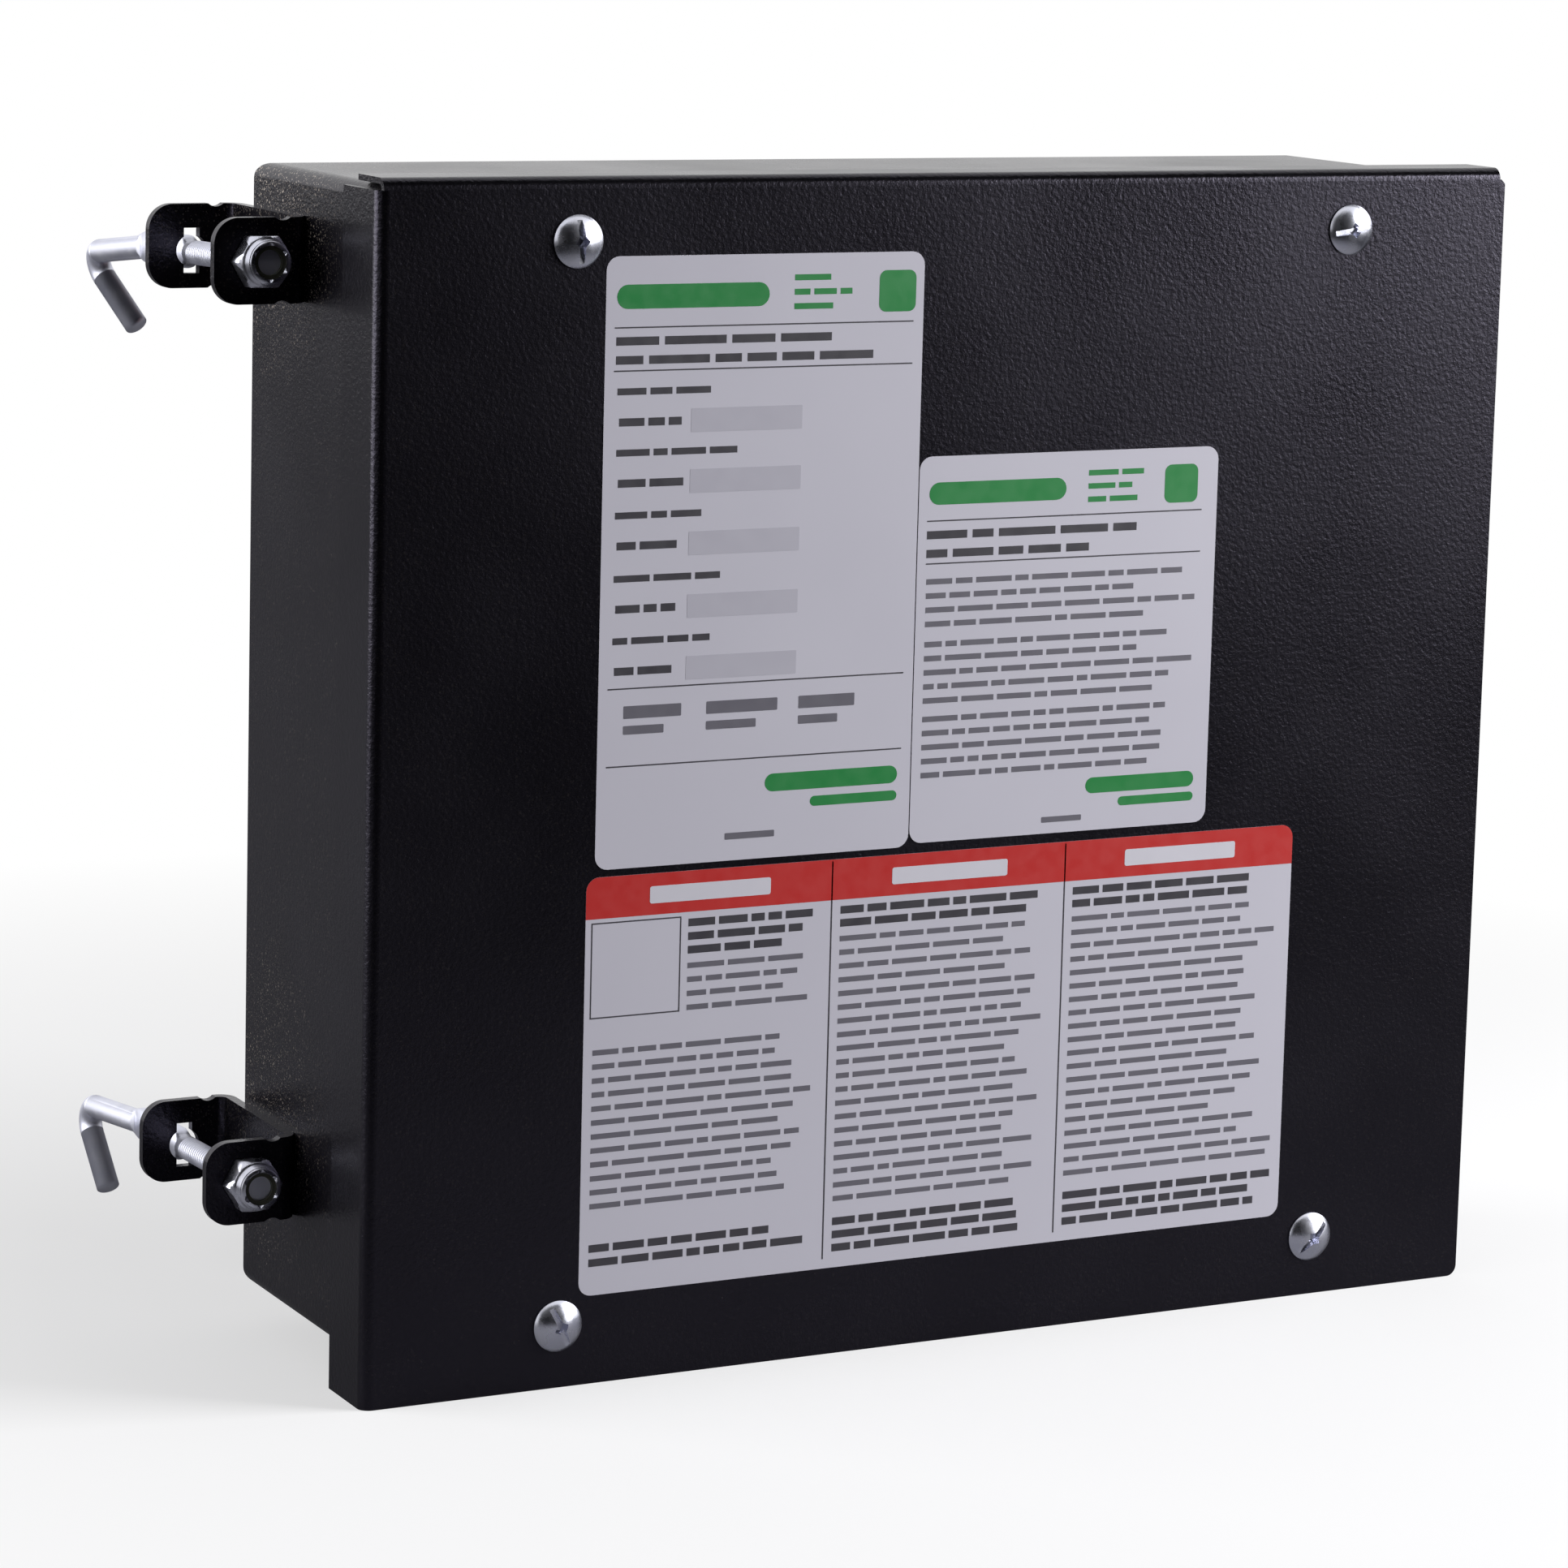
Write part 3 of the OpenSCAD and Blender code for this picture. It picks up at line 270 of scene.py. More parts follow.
def glass_polyester():
    """Red-brown compression-moulded glass polyester: matt, with pale flecks of glass strand."""
    material, tree, shader = new_finish("Moulded glass polyester", "#8a3426", 0.5, IOR=1.55)
    place = object_place(tree)
    flow = grain(tree, place, 12 * MM, 3.0)
    base = blend_colours(tree, flow, "#7b2c20", "#96402f")
    stretched = add(tree, "ShaderNodeMapping", {"Vector": place, "Scale": (0.25, 1, 1)})
    strands = spread(tree, grain(tree, stretched.outputs["Vector"], 0.8 * MM, 2.0), 0.62, 0.72)
    tree.links.new(blend_colours(tree, times(tree, strands, 0.4), base, "#b9725f"),
                   shader.inputs["Base Color"])
    bump(tree, shader, grain(tree, place, 0.7 * MM, 2.0), 0.03 * MM, 0.3)
    return material


def nylon():
    """Dark olive nylon of a lock nut's insert: waxy, marked by the bolt's thread."""
    material, tree, shader = new_finish("Olive nylon", "#3a3b2e", 0.45, IOR=1.53)
    place = object_place(tree)
    smear = grain(tree, place, 1.5 * MM, 2.0)
    tree.links.new(blend_colours(tree, smear, "#34352a", "#4a4b3c"), shader.inputs["Base Color"])
    bump(tree, shader, smear, 0.05 * MM, 0.4)
    return material


def label_film(name, colour):
    """Printed polyester film: a pale satin sheet that sags very slightly over the coat below."""
    material, tree, shader = new_finish(name, colour, 0.36, IOR=1.5)
    place = object_place(tree)
    haze = grain(tree, place, 35 * MM, 2.0)
    tree.links.new(spread(tree, haze, 0.3, 0.7, 0.33, 0.42), shader.inputs["Roughness"])
    bump(tree, shader, grain(tree, place, 1.6 * MM, 2.0), 0.02 * MM, 0.25)
    return material


def ink(name, colour):
    """Screen-printed ink on film: flat colour, a little glossier where it lies thick."""
    material, tree, shader = new_finish(name, colour, 0.4, IOR=1.5)
    thick = grain(tree, object_place(tree), 4 * MM, 2.0)
    tree.links.new(spread(tree, thick, 0.3, 0.7, 0.34, 0.46), shader.inputs["Roughness"])
    return material


def dress(nodes, material):
    """Gives CAD nodes a material in their own slots."""
    for name in nodes:
        for slot in frame["nodes"][name].material_slots:
            slot.material = material


# --- Meshes ---

def finish_piece(name, mesh, material, body):
    """Makes the finished piece, whose place is already in its mesh, and lets it ride."""
    piece = bpy.data.objects.new(name, mesh)
    bpy.context.scene.collection.objects.link(piece)
    if material:
        mesh.materials.clear()
        mesh.materials.append(material)
    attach(piece, body)
    return piece


def mesh_of(name, bm):
    """The bmesh as a mesh with its faces pointing outwards."""
    bmesh.ops.recalc_face_normals(bm, faces=bm.faces)
    mesh = bpy.data.meshes.new(name)
    bm.to_mesh(mesh)
    bm.free()
    return mesh


def smooth(mesh, degrees):
    """Smooth shading, with creases sharper than the angle kept."""
    mesh.shade_smooth()
    mesh.set_sharp_from_angle(angle=math.radians(degrees))


def holder_of(name, mesh):
    """A helper object in the scene, for a modifier to read."""
    holder = bpy.data.objects.new(name, mesh)
    bpy.context.scene.collection.objects.link(holder)
    return holder


def applied(holder):
    """The holder's mesh with its modifiers applied; the holder is removed."""
    graph = bpy.context.evaluated_depsgraph_get()
    mesh = bpy.data.meshes.new_from_object(holder.evaluated_get(graph))
    bpy.data.objects.remove(holder)
    return mesh


def give_tree(holder, tree, values):
    """Puts a geometry node tree on the holder, with values for its named inputs."""
    modifier = holder.modifiers.new(tree.name, "NODES")
    modifier.node_group = tree
    for socket in tree.interface.items_tree:
        if socket.in_out == "INPUT" and socket.name in values:
            modifier[socket.identifier] = values[socket.name]


def rounded_outline(width, height, radius, steps=6):
    """Corners of a rounded rectangle in X and Z, counted from its upper left."""
    points = []
    corners = ((radius, -radius, 90), (radius, radius - height, 180),
               (width - radius, radius - height, 270), (width - radius, -radius, 0))
    for x, z, start in corners:
        for i in range(steps + 1):
            turn = math.radians(start + 90 * i / steps)
            points.append((x + radius * math.cos(turn), z + radius * math.sin(turn)))
    return points


def add_plate(bm, corner, width, height, radius, back, front):
    """A thin rounded plate facing -Y; corner is its upper left, back and front its two Y."""
    add_outline(bm, corner, rounded_outline(width, height, radius), back, front)


def add_outline(bm, corner, outline, back, front):
    """A thin flat piece facing -Y with any outline, given in X and Z from its corner."""
    rings = [[bm.verts.new((corner[0] + x, y, corner[1] + z)) for x, z in outline]
             for y in (back, front)]
    bm.faces.new(rings[0])
    bm.faces.new(list(reversed(rings[1])))
    for i in range(len(outline)):
        j = (i + 1) % len(outline)
        bm.faces.new((rings[0][i], rings[0][j], rings[1][j], rings[1][i]))


# --- Hook bolts ---

def threaded_rod(bm, start, end, radius, depth, pitch, axis):
    """A rod with a V thread, cut as one skin whose radius follows the helix, put in place by axis."""
    around = 36
    per_turn = 10  # rings in one turn of the thread
    rows = int((end - start) / pitch * per_turn)
    runout = 0.8 * pitch
    rings = []
    for row in range(rows + 1):
        y = start + (end - start) * row / rows
        fade = min(1.0, (y - start) / runout, (end - y) / runout)
        ring = []
        for i in range(around):
            turn = 2 * math.pi * i / around
            phase = (y / pitch - i / around) % 1.0
            # 0 in the root and 1 on the crest, both a little flat
            flank = min(1.0, max(0.0, 1.25 * abs(2 * phase - 1) - 0.1))
            r = radius - depth * (1 - flank) * fade
            ring.append(bm.verts.new(axis @ Vector((r * math.sin(turn), y, r * math.cos(turn)))))
        rings.append(ring)
    for low, high in zip(rings, rings[1:]):
        for i in range(around):
            j = (i + 1) % around
            bm.faces.new((low[i], low[j], high[j], high[i]))
    bm.faces.new(rings[0])
    bm.faces.new(list(reversed(rings[-1])))


def hook_bolt_mesh(side):
    """The CAD bolt from its blade backwards, with a threaded rod in place of its plain one."""
    sizes = bpy.context.scene.tap_box_thread
    joint = joints[side + "_nut_spin"]
    along = Vector(joint["axis"])
    origin = Vector(joint["pos_m"])
    axis = Matrix.Translation(origin) @ Vector((0, 1, 0)).rotation_difference(along).to_matrix().to_4x4()
    node = frame["nodes"][side + "_hook_bolt"]
    bm = bmesh.new()
    bm.from_mesh(node.data)
    bmesh.ops.remove_doubles(bm, verts=bm.verts, dist=1e-6)
    start = min((v.co - origin).dot(along) for v in bm.verts)
    end = start + sizes.length - sizes.bare
    everything = list(bm.verts) + list(bm.edges) + list(bm.faces)
    bmesh.ops.bisect_plane(bm, geom=everything, plane_co=origin + along * end, plane_no=along,
                           clear_inner=True, dist=1e-7)
    rim = [edge for edge in bm.edges if edge.is_boundary]
    bmesh.ops.holes_fill(bm, edges=rim, sides=0)
    threaded_rod(bm, start, end, sizes.diameter / 2, sizes.depth, sizes.pitch, axis)
    mesh = mesh_of(side + "_hook_bolt_threaded", bm)
    smooth(mesh, 38)
    return mesh


# --- Cover screws ---

def revolved(bm, profile, steps):
    """Turns an outline of (radius, y) points, from axis to axis, once round the Y axis."""
    rings = []
    for radius, y in profile:
        if radius == 0:
            rings.append([bm.verts.new((0, y, 0))])
        else:
            turns = [2 * math.pi * i / steps for i in range(steps)]
            rings.append([bm.verts.new((radius * math.cos(t), y, radius * math.sin(t))) for t in turns])
    for first, second in zip(rings, rings[1:]):
        for i in range(steps):
            corners = [first[i % len(first)], first[(i + 1) % len(first)],
                       second[(i + 1) % len(second)], second[i % len(second)]]
            bm.faces.new(list(dict.fromkeys(corners)))


def screw_head_mesh():
    """A domed truss head towards -Y, cut by a straight slot and by a square socket set cornerwise."""
    sizes = bpy.context.scene.tap_box_screws
    radius = sizes.head / 2
    rim = 0.5 * MM
    dome = sizes.height - rim
    ball = (radius ** 2 + dome ** 2) / (2 * dome)
    widest = math.asin(radius / ball)
    steps = 14
    turns = [widest * (1 - i / steps) for i in range(1, steps)]
    profile = [(0, 0), (radius - 0.1 * MM, 0), (radius, -0.15 * MM), (radius, -rim + 0.1 * MM)]
    profile += [(ball * math.sin(t), ball - sizes.height - ball * math.cos(t)) for t in turns]
    profile.append((0, -sizes.height))
    bm = bmesh.new()
    revolved(bm, profile, 96)
    head = holder_of("head", mesh_of("head", bm))
    top = sizes.height + 1 * MM
    cutters = []
    # Each cutter has half its length and width at its foot and at its top, its depth and its turn
    for name, low, high, depth, turn in (
        ("slot", (sizes.slot * 0.42, radius), (sizes.slot * 0.56, radius * 1.2), 1.6 * MM, 0),
        ("socket", (sizes.socket * 0.3,) * 2, (sizes.socket * 0.56,) * 2, 2.5 * MM, 45),
    ):
        bm = bmesh.new()
        foot = sizes.height - depth
        rings = []
        for half, y in ((low, foot), (high, top)):
            corners = ((-1, -1), (1, -1), (1, 1), (-1, 1))
            rings.append([bm.verts.new((half[1] * a, -y, half[0] * b)) for a, b in corners])
        bm.faces.new(rings[0])
        bm.faces.new(rings[1])
        for i in range(4):
            j = (i + 1) % 4
            bm.faces.new((rings[0][i], rings[0][j], rings[1][j], rings[1][i]))
        bmesh.ops.rotate(bm, matrix=Matrix.Rotation(math.radians(turn), 3, "Y"), verts=bm.verts)
        cutters.append(holder_of(name, mesh_of(name, bm)))
        cut = head.modifiers.new(name, "BOOLEAN")
        cut.operation = "DIFFERENCE"
        cut.solver = "EXACT"
        cut.object = cutters[-1]
    mesh = applied(head)
    for cutter in cutters:
        bpy.data.objects.remove(cutter)
    return mesh


def screw_mesh():
    """One cover screw along Y: its head in front of zero and its rolled thread behind."""
    sizes = bpy.context.scene.tap_box_screws
    bm = bmesh.new()
    bm.from_mesh(screw_head_mesh())
    inside_head = -0.3 * MM
    threaded_rod(bm, inside_head, sizes.length, sizes.stem / 2, 0.5 * MM, 1.27 * MM, Matrix())
    mesh = mesh_of("screw", bm)
    smooth(mesh, 32)
    return mesh


def turned_tree():
    """Sets one object on each point, turned about Y by the point's own angle."""
    tree = bpy.data.node_groups.new("Turned copies", "GeometryNodeTree")
    face = tree.interface
    face.new_socket("Geometry", in_out="OUTPUT", socket_type="NodeSocketGeometry")
    for name, kind in (("Points", "NodeSocketGeometry"), ("Piece", "NodeSocketObject"),
                       ("Finish", "NodeSocketMaterial")):
        face.new_socket(name, in_out="INPUT", socket_type=kind)
    given = add(tree, "NodeGroupInput").outputs
    turn = socket_named(add(tree, "GeometryNodeInputNamedAttribute", {"Name": "turn"},
                            data_type="FLOAT").outputs, "Attribute")
    piece = add(tree, "GeometryNodeObjectInfo", {"Object": given["Piece"]}).outputs["Geometry"]
    spin = add(tree, "FunctionNodeEulerToRotation", {
        "Euler": add(tree, "ShaderNodeCombineXYZ", {"Y": turn}).outputs["Vector"],
    }).outputs["Rotation"]
    copies = add(tree, "GeometryNodeInstanceOnPoints", {
        "Points": given["Points"], "Instance": piece, "Rotation": spin,
    }).outputs["Instances"]
    real = add(tree, "GeometryNodeRealizeInstances", {"Geometry": copies}).outputs["Geometry"]
    bare = add(tree, "GeometryNodeRemoveAttribute", {
        "Geometry": real, "Name": "turn",
    }).outputs["Geometry"]
    done = add(tree, "GeometryNodeSetMaterial", {"Geometry": bare, "Material": given["Finish"]})
    out = add(tree, "NodeGroupOutput")
    tree.links.new(done.outputs["Geometry"], out.inputs["Geometry"])
    return tree


def cover_screws_mesh(finish):
    """The four cover screws, each left at the angle it was driven to."""
    sizes = bpy.context.scene.tap_box_screws
    lo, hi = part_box("cover_screws")
    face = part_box("front_cover")[0].y
    half = sizes.head / 2
    left, right, low, high = lo.x + half, hi.x - half, lo.z + half, hi.z - half
    points = bpy.data.meshes.new("screw places")
    points.from_pydata([(left, face, high), (right, face, high), (left, face, low),
                        (right, face, low)], [], [])
    turns = points.attributes.new("turn", "FLOAT", "POINT")
    for slot, angle in zip(turns.data, sizes.turns):
        slot.value = -angle
    tree = turned_tree()
    screw = holder_of("screw", screw_mesh())
    holder = holder_of("cover screws", points)
    give_tree(holder, tree, {"Piece": screw, "Finish": finish})
    mesh = applied(holder)
    bpy.data.objects.remove(screw)
    bpy.data.node_groups.remove(tree)
    return mesh


def turned_nut_mesh(side):
    """The CAD lock nut as it was left by the wrench, with two flats level."""
    joint = joints[side + "_nut_spin"]
    bm = bmesh.new()
    bm.from_mesh(frame["nodes"][side + "_lock_nut"].data)
    bmesh.ops.remove_doubles(bm, verts=bm.verts, dist=1e-6)
    turn = Matrix.Rotation(bpy.context.scene.tap_box_screws.nut_turn, 3, Vector(joint["axis"]))
    bmesh.ops.rotate(bm, cent=Vector(joint["pos_m"]), matrix=turn, verts=bm.verts)
    mesh = mesh_of(side + "_lock_nut_turned", bm)
    smooth(mesh, 30)
    return mesh


# --- Greeked print ---

def print_tree():
    """Rows of short bars that stand for lines of print, as a node tree with named inputs."""
    tree = bpy.data.node_groups.new("Greeked print", "GeometryNodeTree")
    face = tree.interface
    face.new_socket("Geometry", in_out="OUTPUT", socket_type="NodeSocketGeometry")
    for name, kind, default in (
        ("Lines", "NodeSocketInt", 5), ("Width", "NodeSocketFloat", 60 * MM),
        ("Pitch", "NodeSocketFloat", 3.5 * MM), ("Bar height", "NodeSocketFloat", 1.4 * MM),
        ("Shortest bar", "NodeSocketFloat", 3 * MM), ("Longest bar", "NodeSocketFloat", 11 * MM),
        ("Space", "NodeSocketFloat", 1.1 * MM), ("Ink depth", "NodeSocketFloat", 0.03 * MM),
        ("Seed", "NodeSocketInt", 1), ("Ink", "NodeSocketMaterial", None),
    ):
        socket = face.new_socket(name, in_out="INPUT", socket_type=kind)
        if default is not None:
            socket.default_value = default
    given = add(tree, "NodeGroupInput").outputs
    most = 30
    count = add(tree, "ShaderNodeMath", {0: given["Lines"], 1: float(most)}, operation="MULTIPLY")
    row = add(tree, "GeometryNodeMeshLine", {"Count": count.outputs[0], "Offset": (0, 0, 0)},
              mode="OFFSET").outputs["Mesh"]
    index = add(tree, "GeometryNodeInputIndex").outputs["Index"]
    part = add(tree, "ShaderNodeMath", {0: index, 1: float(most)}, operation="DIVIDE").outputs[0]
    line = add(tree, "ShaderNodeMath", {0: part}, operation="FLOOR").outputs[0]
    length = socket_named(add(tree, "FunctionNodeRandomValue", {
        "Min": given["Shortest bar"], "Max": given["Longest bar"], "ID": index, "Seed": given["Seed"],
    }, data_type="FLOAT").outputs, "Value")
    ragged = socket_named(add(tree, "FunctionNodeRandomValue", {
        "Min": 0.84, "Max": 1.0, "ID": line, "Seed": given["Seed"],
    }, data_type="FLOAT").outputs, "Value")
    step = plus(tree, length, given["Space"])
    begin = socket_named(add(tree, "GeometryNodeAccumulateField", {
        "Value": step, "Group ID": line,
    }, data_type="FLOAT").outputs, "Trailing")
    stop = plus(tree, begin, length)
    limit = times(tree, given["Width"], ragged)
    too_far = add(tree, "FunctionNodeCompare", {"A": stop, "B": limit},
                  data_type="FLOAT", operation="GREATER_THAN").outputs["Result"]
    middle = plus(tree, begin, times(tree, length, 0.5))
    down = times(tree, plus(tree, line, 0.5), times(tree, given["Pitch"], -1.0))
    place = add(tree, "ShaderNodeCombineXYZ", {"X": middle, "Z": down}).outputs["Vector"]
    named = add(tree, "GeometryNodeStoreNamedAttribute", {
        "Geometry": row, "Name": "bar_length", "Value": length,
    }, data_type="FLOAT", domain="POINT").outputs["Geometry"]
    placed = add(tree, "GeometryNodeSetPosition", {
        "Geometry": named, "Position": place,
    }).outputs["Geometry"]
    kept = add(tree, "GeometryNodeDeleteGeometry", {
        "Geometry": placed, "Selection": too_far,
    }, domain="POINT").outputs["Geometry"]
    bar = add(tree, "GeometryNodeMeshCube", {"Size": (1, 1, 1)}).outputs["Mesh"]
    stored = socket_named(add(tree, "GeometryNodeInputNamedAttribute", {"Name": "bar_length"},
                              data_type="FLOAT").outputs, "Attribute")
    size = add(tree, "ShaderNodeCombineXYZ", {
        "X": stored, "Y": given["Ink depth"], "Z": given["Bar height"],
    }).outputs["Vector"]
    bars = add(tree, "GeometryNodeInstanceOnPoints", {
        "Points": kept, "Instance": bar, "Scale": size,
    }).outputs["Instances"]
    real = add(tree, "GeometryNodeRealizeInstances", {"Geometry": bars}).outputs["Geometry"]
    bare = add(tree, "GeometryNodeRemoveAttribute", {
        "Geometry": real, "Name": "bar_length",
    }).outputs["Geometry"]
    inked = add(tree, "GeometryNodeSetMaterial", {"Geometry": bare, "Material": given["Ink"]})
    out = add(tree, "NodeGroupOutput")
    tree.links.new(inked.outputs["Geometry"], out.inputs["Geometry"])
    return tree


def print_lines(tree, values):
    """Runs the print tree once and returns its bars as a plain mesh."""
    holder = holder_of("print", bpy.data.meshes.new("print"))
    give_tree(holder, tree, values)
    return applied(holder)


# --- Labels ---

class LabelSheet:
    """One printed label on the cover: its film, and its inks gathered by colour."""

    def __init__(self, name, left, down, width, height):
        sizes = bpy.context.scene.tap_box_labels
        lo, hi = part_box("front_cover")
        self.name = name
        self.corner = (lo.x + left, hi.z - down)
        self.width = width
        self.height = height
        self.face = lo.y - sizes.film
        self.ink = sizes.ink
        self.inks = {}
        bm = bmesh.new()
        add_plate(bm, self.corner, width, height, sizes.corner, lo.y, self.face)
        self.film = bm

    def bm(self, colour):
        """The bmesh that gathers one ink's shapes."""
        if colour not in self.inks:
            self.inks[colour] = bmesh.new()
        return self.inks[colour]

    def block(self, colour, left, down, width, height, radius=0.25 * MM, layer=0):
        """A solid printed bar, measured from the label's corner; layer 1 lies on other ink."""
        radius = min(radius, width / 2.01, height / 2.01)
        corner = (self.corner[0] + left, self.corner[1] - down)
        back = self.face - layer * self.ink
        add_plate(self.bm(colour), corner, width, height, radius, back, back - self.ink)

    def band(self, colour, width, height, radius):
        """A band across the top of the label, rounded with the label's own upper corners."""
        upper = [p for p in rounded_outline(width, 2 * height, radius) if p[1] > -height]
        outline = [(width, -height)] + upper[len(upper) // 2:] + upper[:len(upper) // 2] + [(0, -height)]
        add_outline(self.bm(colour), self.corner, outline, self.face, self.face - self.ink)

    def rule(self, colour, left, down, width, weight=0.35 * MM):
        """A thin line across the label."""
        self.block(colour, left, down - weight / 2, width, weight, 0.1 * MM)

    def frame(self, colour, left, down, width, height, weight=0.35 * MM):
        """An empty square outline."""
        self.block(colour, left, down, width, weight, 0.05 * MM)
        self.block(colour, left, down + height - weight, width, weight, 0.05 * MM)
        self.block(colour, left, down + weight, weight, height - 2 * weight, 0.05 * MM)
        self.block(colour, left + width - weight, down + weight, weight, height - 2 * weight, 0.05 * MM)

    def lines(self, tree, colour, left, down, width, count, seed, **sizes):
        """Lines of greeked print."""
        values = {"Lines": count, "Width": width, "Seed": seed, "Ink depth": self.ink}
        values.update({key.replace("_", " ").capitalize(): value for key, value in sizes.items()})
        mesh = print_lines(tree, values)
        place = (self.corner[0] + left, self.face - self.ink / 2, self.corner[1] - down)
        mesh.transform(Matrix.Translation(place))
        self.bm(colour).from_mesh(mesh)
        bpy.data.meshes.remove(mesh)

    def finish(self, film, inks):
        """Makes the label's pieces."""
        finish_piece(self.name, mesh_of(self.name, self.film), film, "cover")
        for colour, bm in self.inks.items():
            name = self.name + "_print_" + colour
            finish_piece(name, mesh_of(name, bm), inks[colour], "cover")


def head(sheet, tree, seed, scale):
    """Head of a rating label: a broad green bar, three short green lines and a framed square."""
    sheet.block("green", 3 * MM, 7 * MM * scale, 42 * MM * scale, 6 * MM * scale, 3 * MM)
    sheet.lines(tree, "green", 52 * MM * scale, 4.2 * MM * scale, 19 * MM * scale, 3, seed,
                pitch=3.6 * MM * scale, bar_height=1.5 * MM * scale)
    sheet.block("green", 76 * MM * scale, 4.6 * MM * scale, 10.5 * MM * scale, 10.5 * MM * scale, 2 * MM)


def rating_label(tree):
    """Tall label: head, title lines, five captioned fields, a band of marks and a foot."""
    sheet = LabelSheet("rating_label", 60.8 * MM, 19.6 * MM, 88.8 * MM, 153.1 * MM)
    head(sheet, tree, 3, 1.0)
    for down in (17.6, 28.3, 107.6, 127.2):
        sheet.rule("dark", 2.5 * MM, down * MM, 83.5 * MM)
    sheet.lines(tree, "dark", 3 * MM, 18.6 * MM, 74 * MM, 2, 5, pitch=4.7 * MM, bar_height=2.1 * MM,
                shortest_bar=6 * MM, longest_bar=17 * MM, space=1.6 * MM)
    for number, down in enumerate((31.8, 47.0, 62.6, 78.4, 94.0)):
        sheet.lines(tree, "dark", 3.6 * MM, down * MM, 36 * MM, 1, 11 + number, pitch=3.2 * MM,
                    bar_height=1.7 * MM)
        sheet.block("pale", 24 * MM, (down + 6.2) * MM, 31 * MM, 6 * MM)
        sheet.lines(tree, "dark", 4.2 * MM, (down + 7.2) * MM, 20 * MM, 1, 31 + number,
                    pitch=4 * MM, bar_height=2.0 * MM)
    for left, width in ((7, 16), (30, 20), (56, 16)):
        sheet.block("mid", left * MM, 112 * MM, width * MM, 3.2 * MM)
        sheet.block("mid", left * MM, 117 * MM, width * 0.7 * MM, 2.2 * MM)
    sheet.block("green", 47 * MM, 131.5 * MM, 38 * MM, 4.6 * MM, 2.3 * MM)
    sheet.block("green", 60 * MM, 138 * MM, 25 * MM, 2.6 * MM, 1.3 * MM)
    sheet.block("mid", 36 * MM, 146 * MM, 14 * MM, 1.7 * MM)
    return sheet


def instruction_label(tree):
    """Smaller label: the same head, title lines, three paragraphs and a foot."""
    sheet = LabelSheet("instruction_label", 149.9 * MM, 71.9 * MM, 89.1 * MM, 100 * MM)
    head(sheet, tree, 7, 0.96)
    for down in (16.6, 27.6):
        sheet.rule("dark", 2.5 * MM, down * MM, 82 * MM)
    sheet.lines(tree, "dark", 2.6 * MM, 17.8 * MM, 74 * MM, 2, 9, pitch=4.8 * MM, bar_height=2.1 * MM,
                shortest_bar=6 * MM, longest_bar=17 * MM, space=1.6 * MM)
    for down, count, seed in ((30.4, 4, 41), (46.6, 5, 43), (66.0, 5, 47)):
        sheet.lines(tree, "mid", 2.8 * MM, down * MM, 83 * MM, count, seed, pitch=3.65 * MM,
                    bar_height=1.45 * MM)
    sheet.block("green", 52 * MM, 86 * MM, 33 * MM, 4.2 * MM, 2.1 * MM)
    sheet.block("green", 62 * MM, 91.6 * MM, 23 * MM, 2.4 * MM, 1.2 * MM)
    sheet.block("mid", 39 * MM, 95.6 * MM, 12 * MM, 1.5 * MM)
    return sheet


def column_label(tree):
    """Wide label: a red band over three ruled columns of small print."""
    width, height, band = 208.2 * MM, 107.5 * MM, 10.6 * MM
    sheet = LabelSheet("column_label", 58.6 * MM, 174.5 * MM, width, height)
    corner = bpy.context.scene.tap_box_labels.corner
    sheet.band("red", width, band, corner)
    edges = (0, 69.3 * MM, 138 * MM, width)
    for column, (left, right) in enumerate(zip(edges, edges[1:])):
        middle = (left + right) / 2
        sheet.block("white", middle - 17 * MM, 3.3 * MM, 34 * MM, 4.4 * MM, 0.6 * MM, layer=1)
        if column:
            sheet.block("dark", left - 0.2 * MM, 0.5 * MM, 0.4 * MM, height - 3 * MM, 0.05 * MM)
        inset = left + 2.6 * MM
        room = right - left - 5 * MM
        if column == 0:
            sheet.frame("dark", inset - 1 * MM, 11.6 * MM, 25 * MM, 24.5 * MM)
            sheet.lines(tree, "dark", inset + 26 * MM, 11.6 * MM, room - 26 * MM, 3, 51, pitch=3.5 * MM,
                        bar_height=2.0 * MM)
            sheet.lines(tree, "mid", inset + 26 * MM, 22.6 * MM, room - 26 * MM, 4, 53, pitch=3.6 * MM)
            sheet.lines(tree, "mid", inset, 43 * MM, room, 12, 55, pitch=3.6 * MM)
            sheet.lines(tree, "dark", inset, 93.5 * MM, room, 2, 57, pitch=3.7 * MM, bar_height=2.0 * MM)
        else:
            sheet.lines(tree, "dark", inset, 11.6 * MM, room, 2, 59 + column, pitch=3.4 * MM,
                        bar_height=2.0 * MM)
            sheet.lines(tree, "mid", inset, 19 * MM, room, 20, 63 + column, pitch=3.6 * MM)
            sheet.lines(tree, "dark", inset, 93.5 * MM, room, 3, 67 + column, pitch=3.5 * MM,
                        bar_height=2.0 * MM)
    return sheet


# --- Sizes and colours that a user would change ---

class TapBoxFinish(bpy.types.PropertyGroup):
    peel_size: FloatProperty(name="Peel size", description="Width of the coat's orange-peel bumps",
                             default=1.1 * MM, unit="LENGTH")
    peel_depth: FloatProperty(name="Peel depth", description="Height of the coat's bumps",
                              default=0.12 * MM, unit="LENGTH")


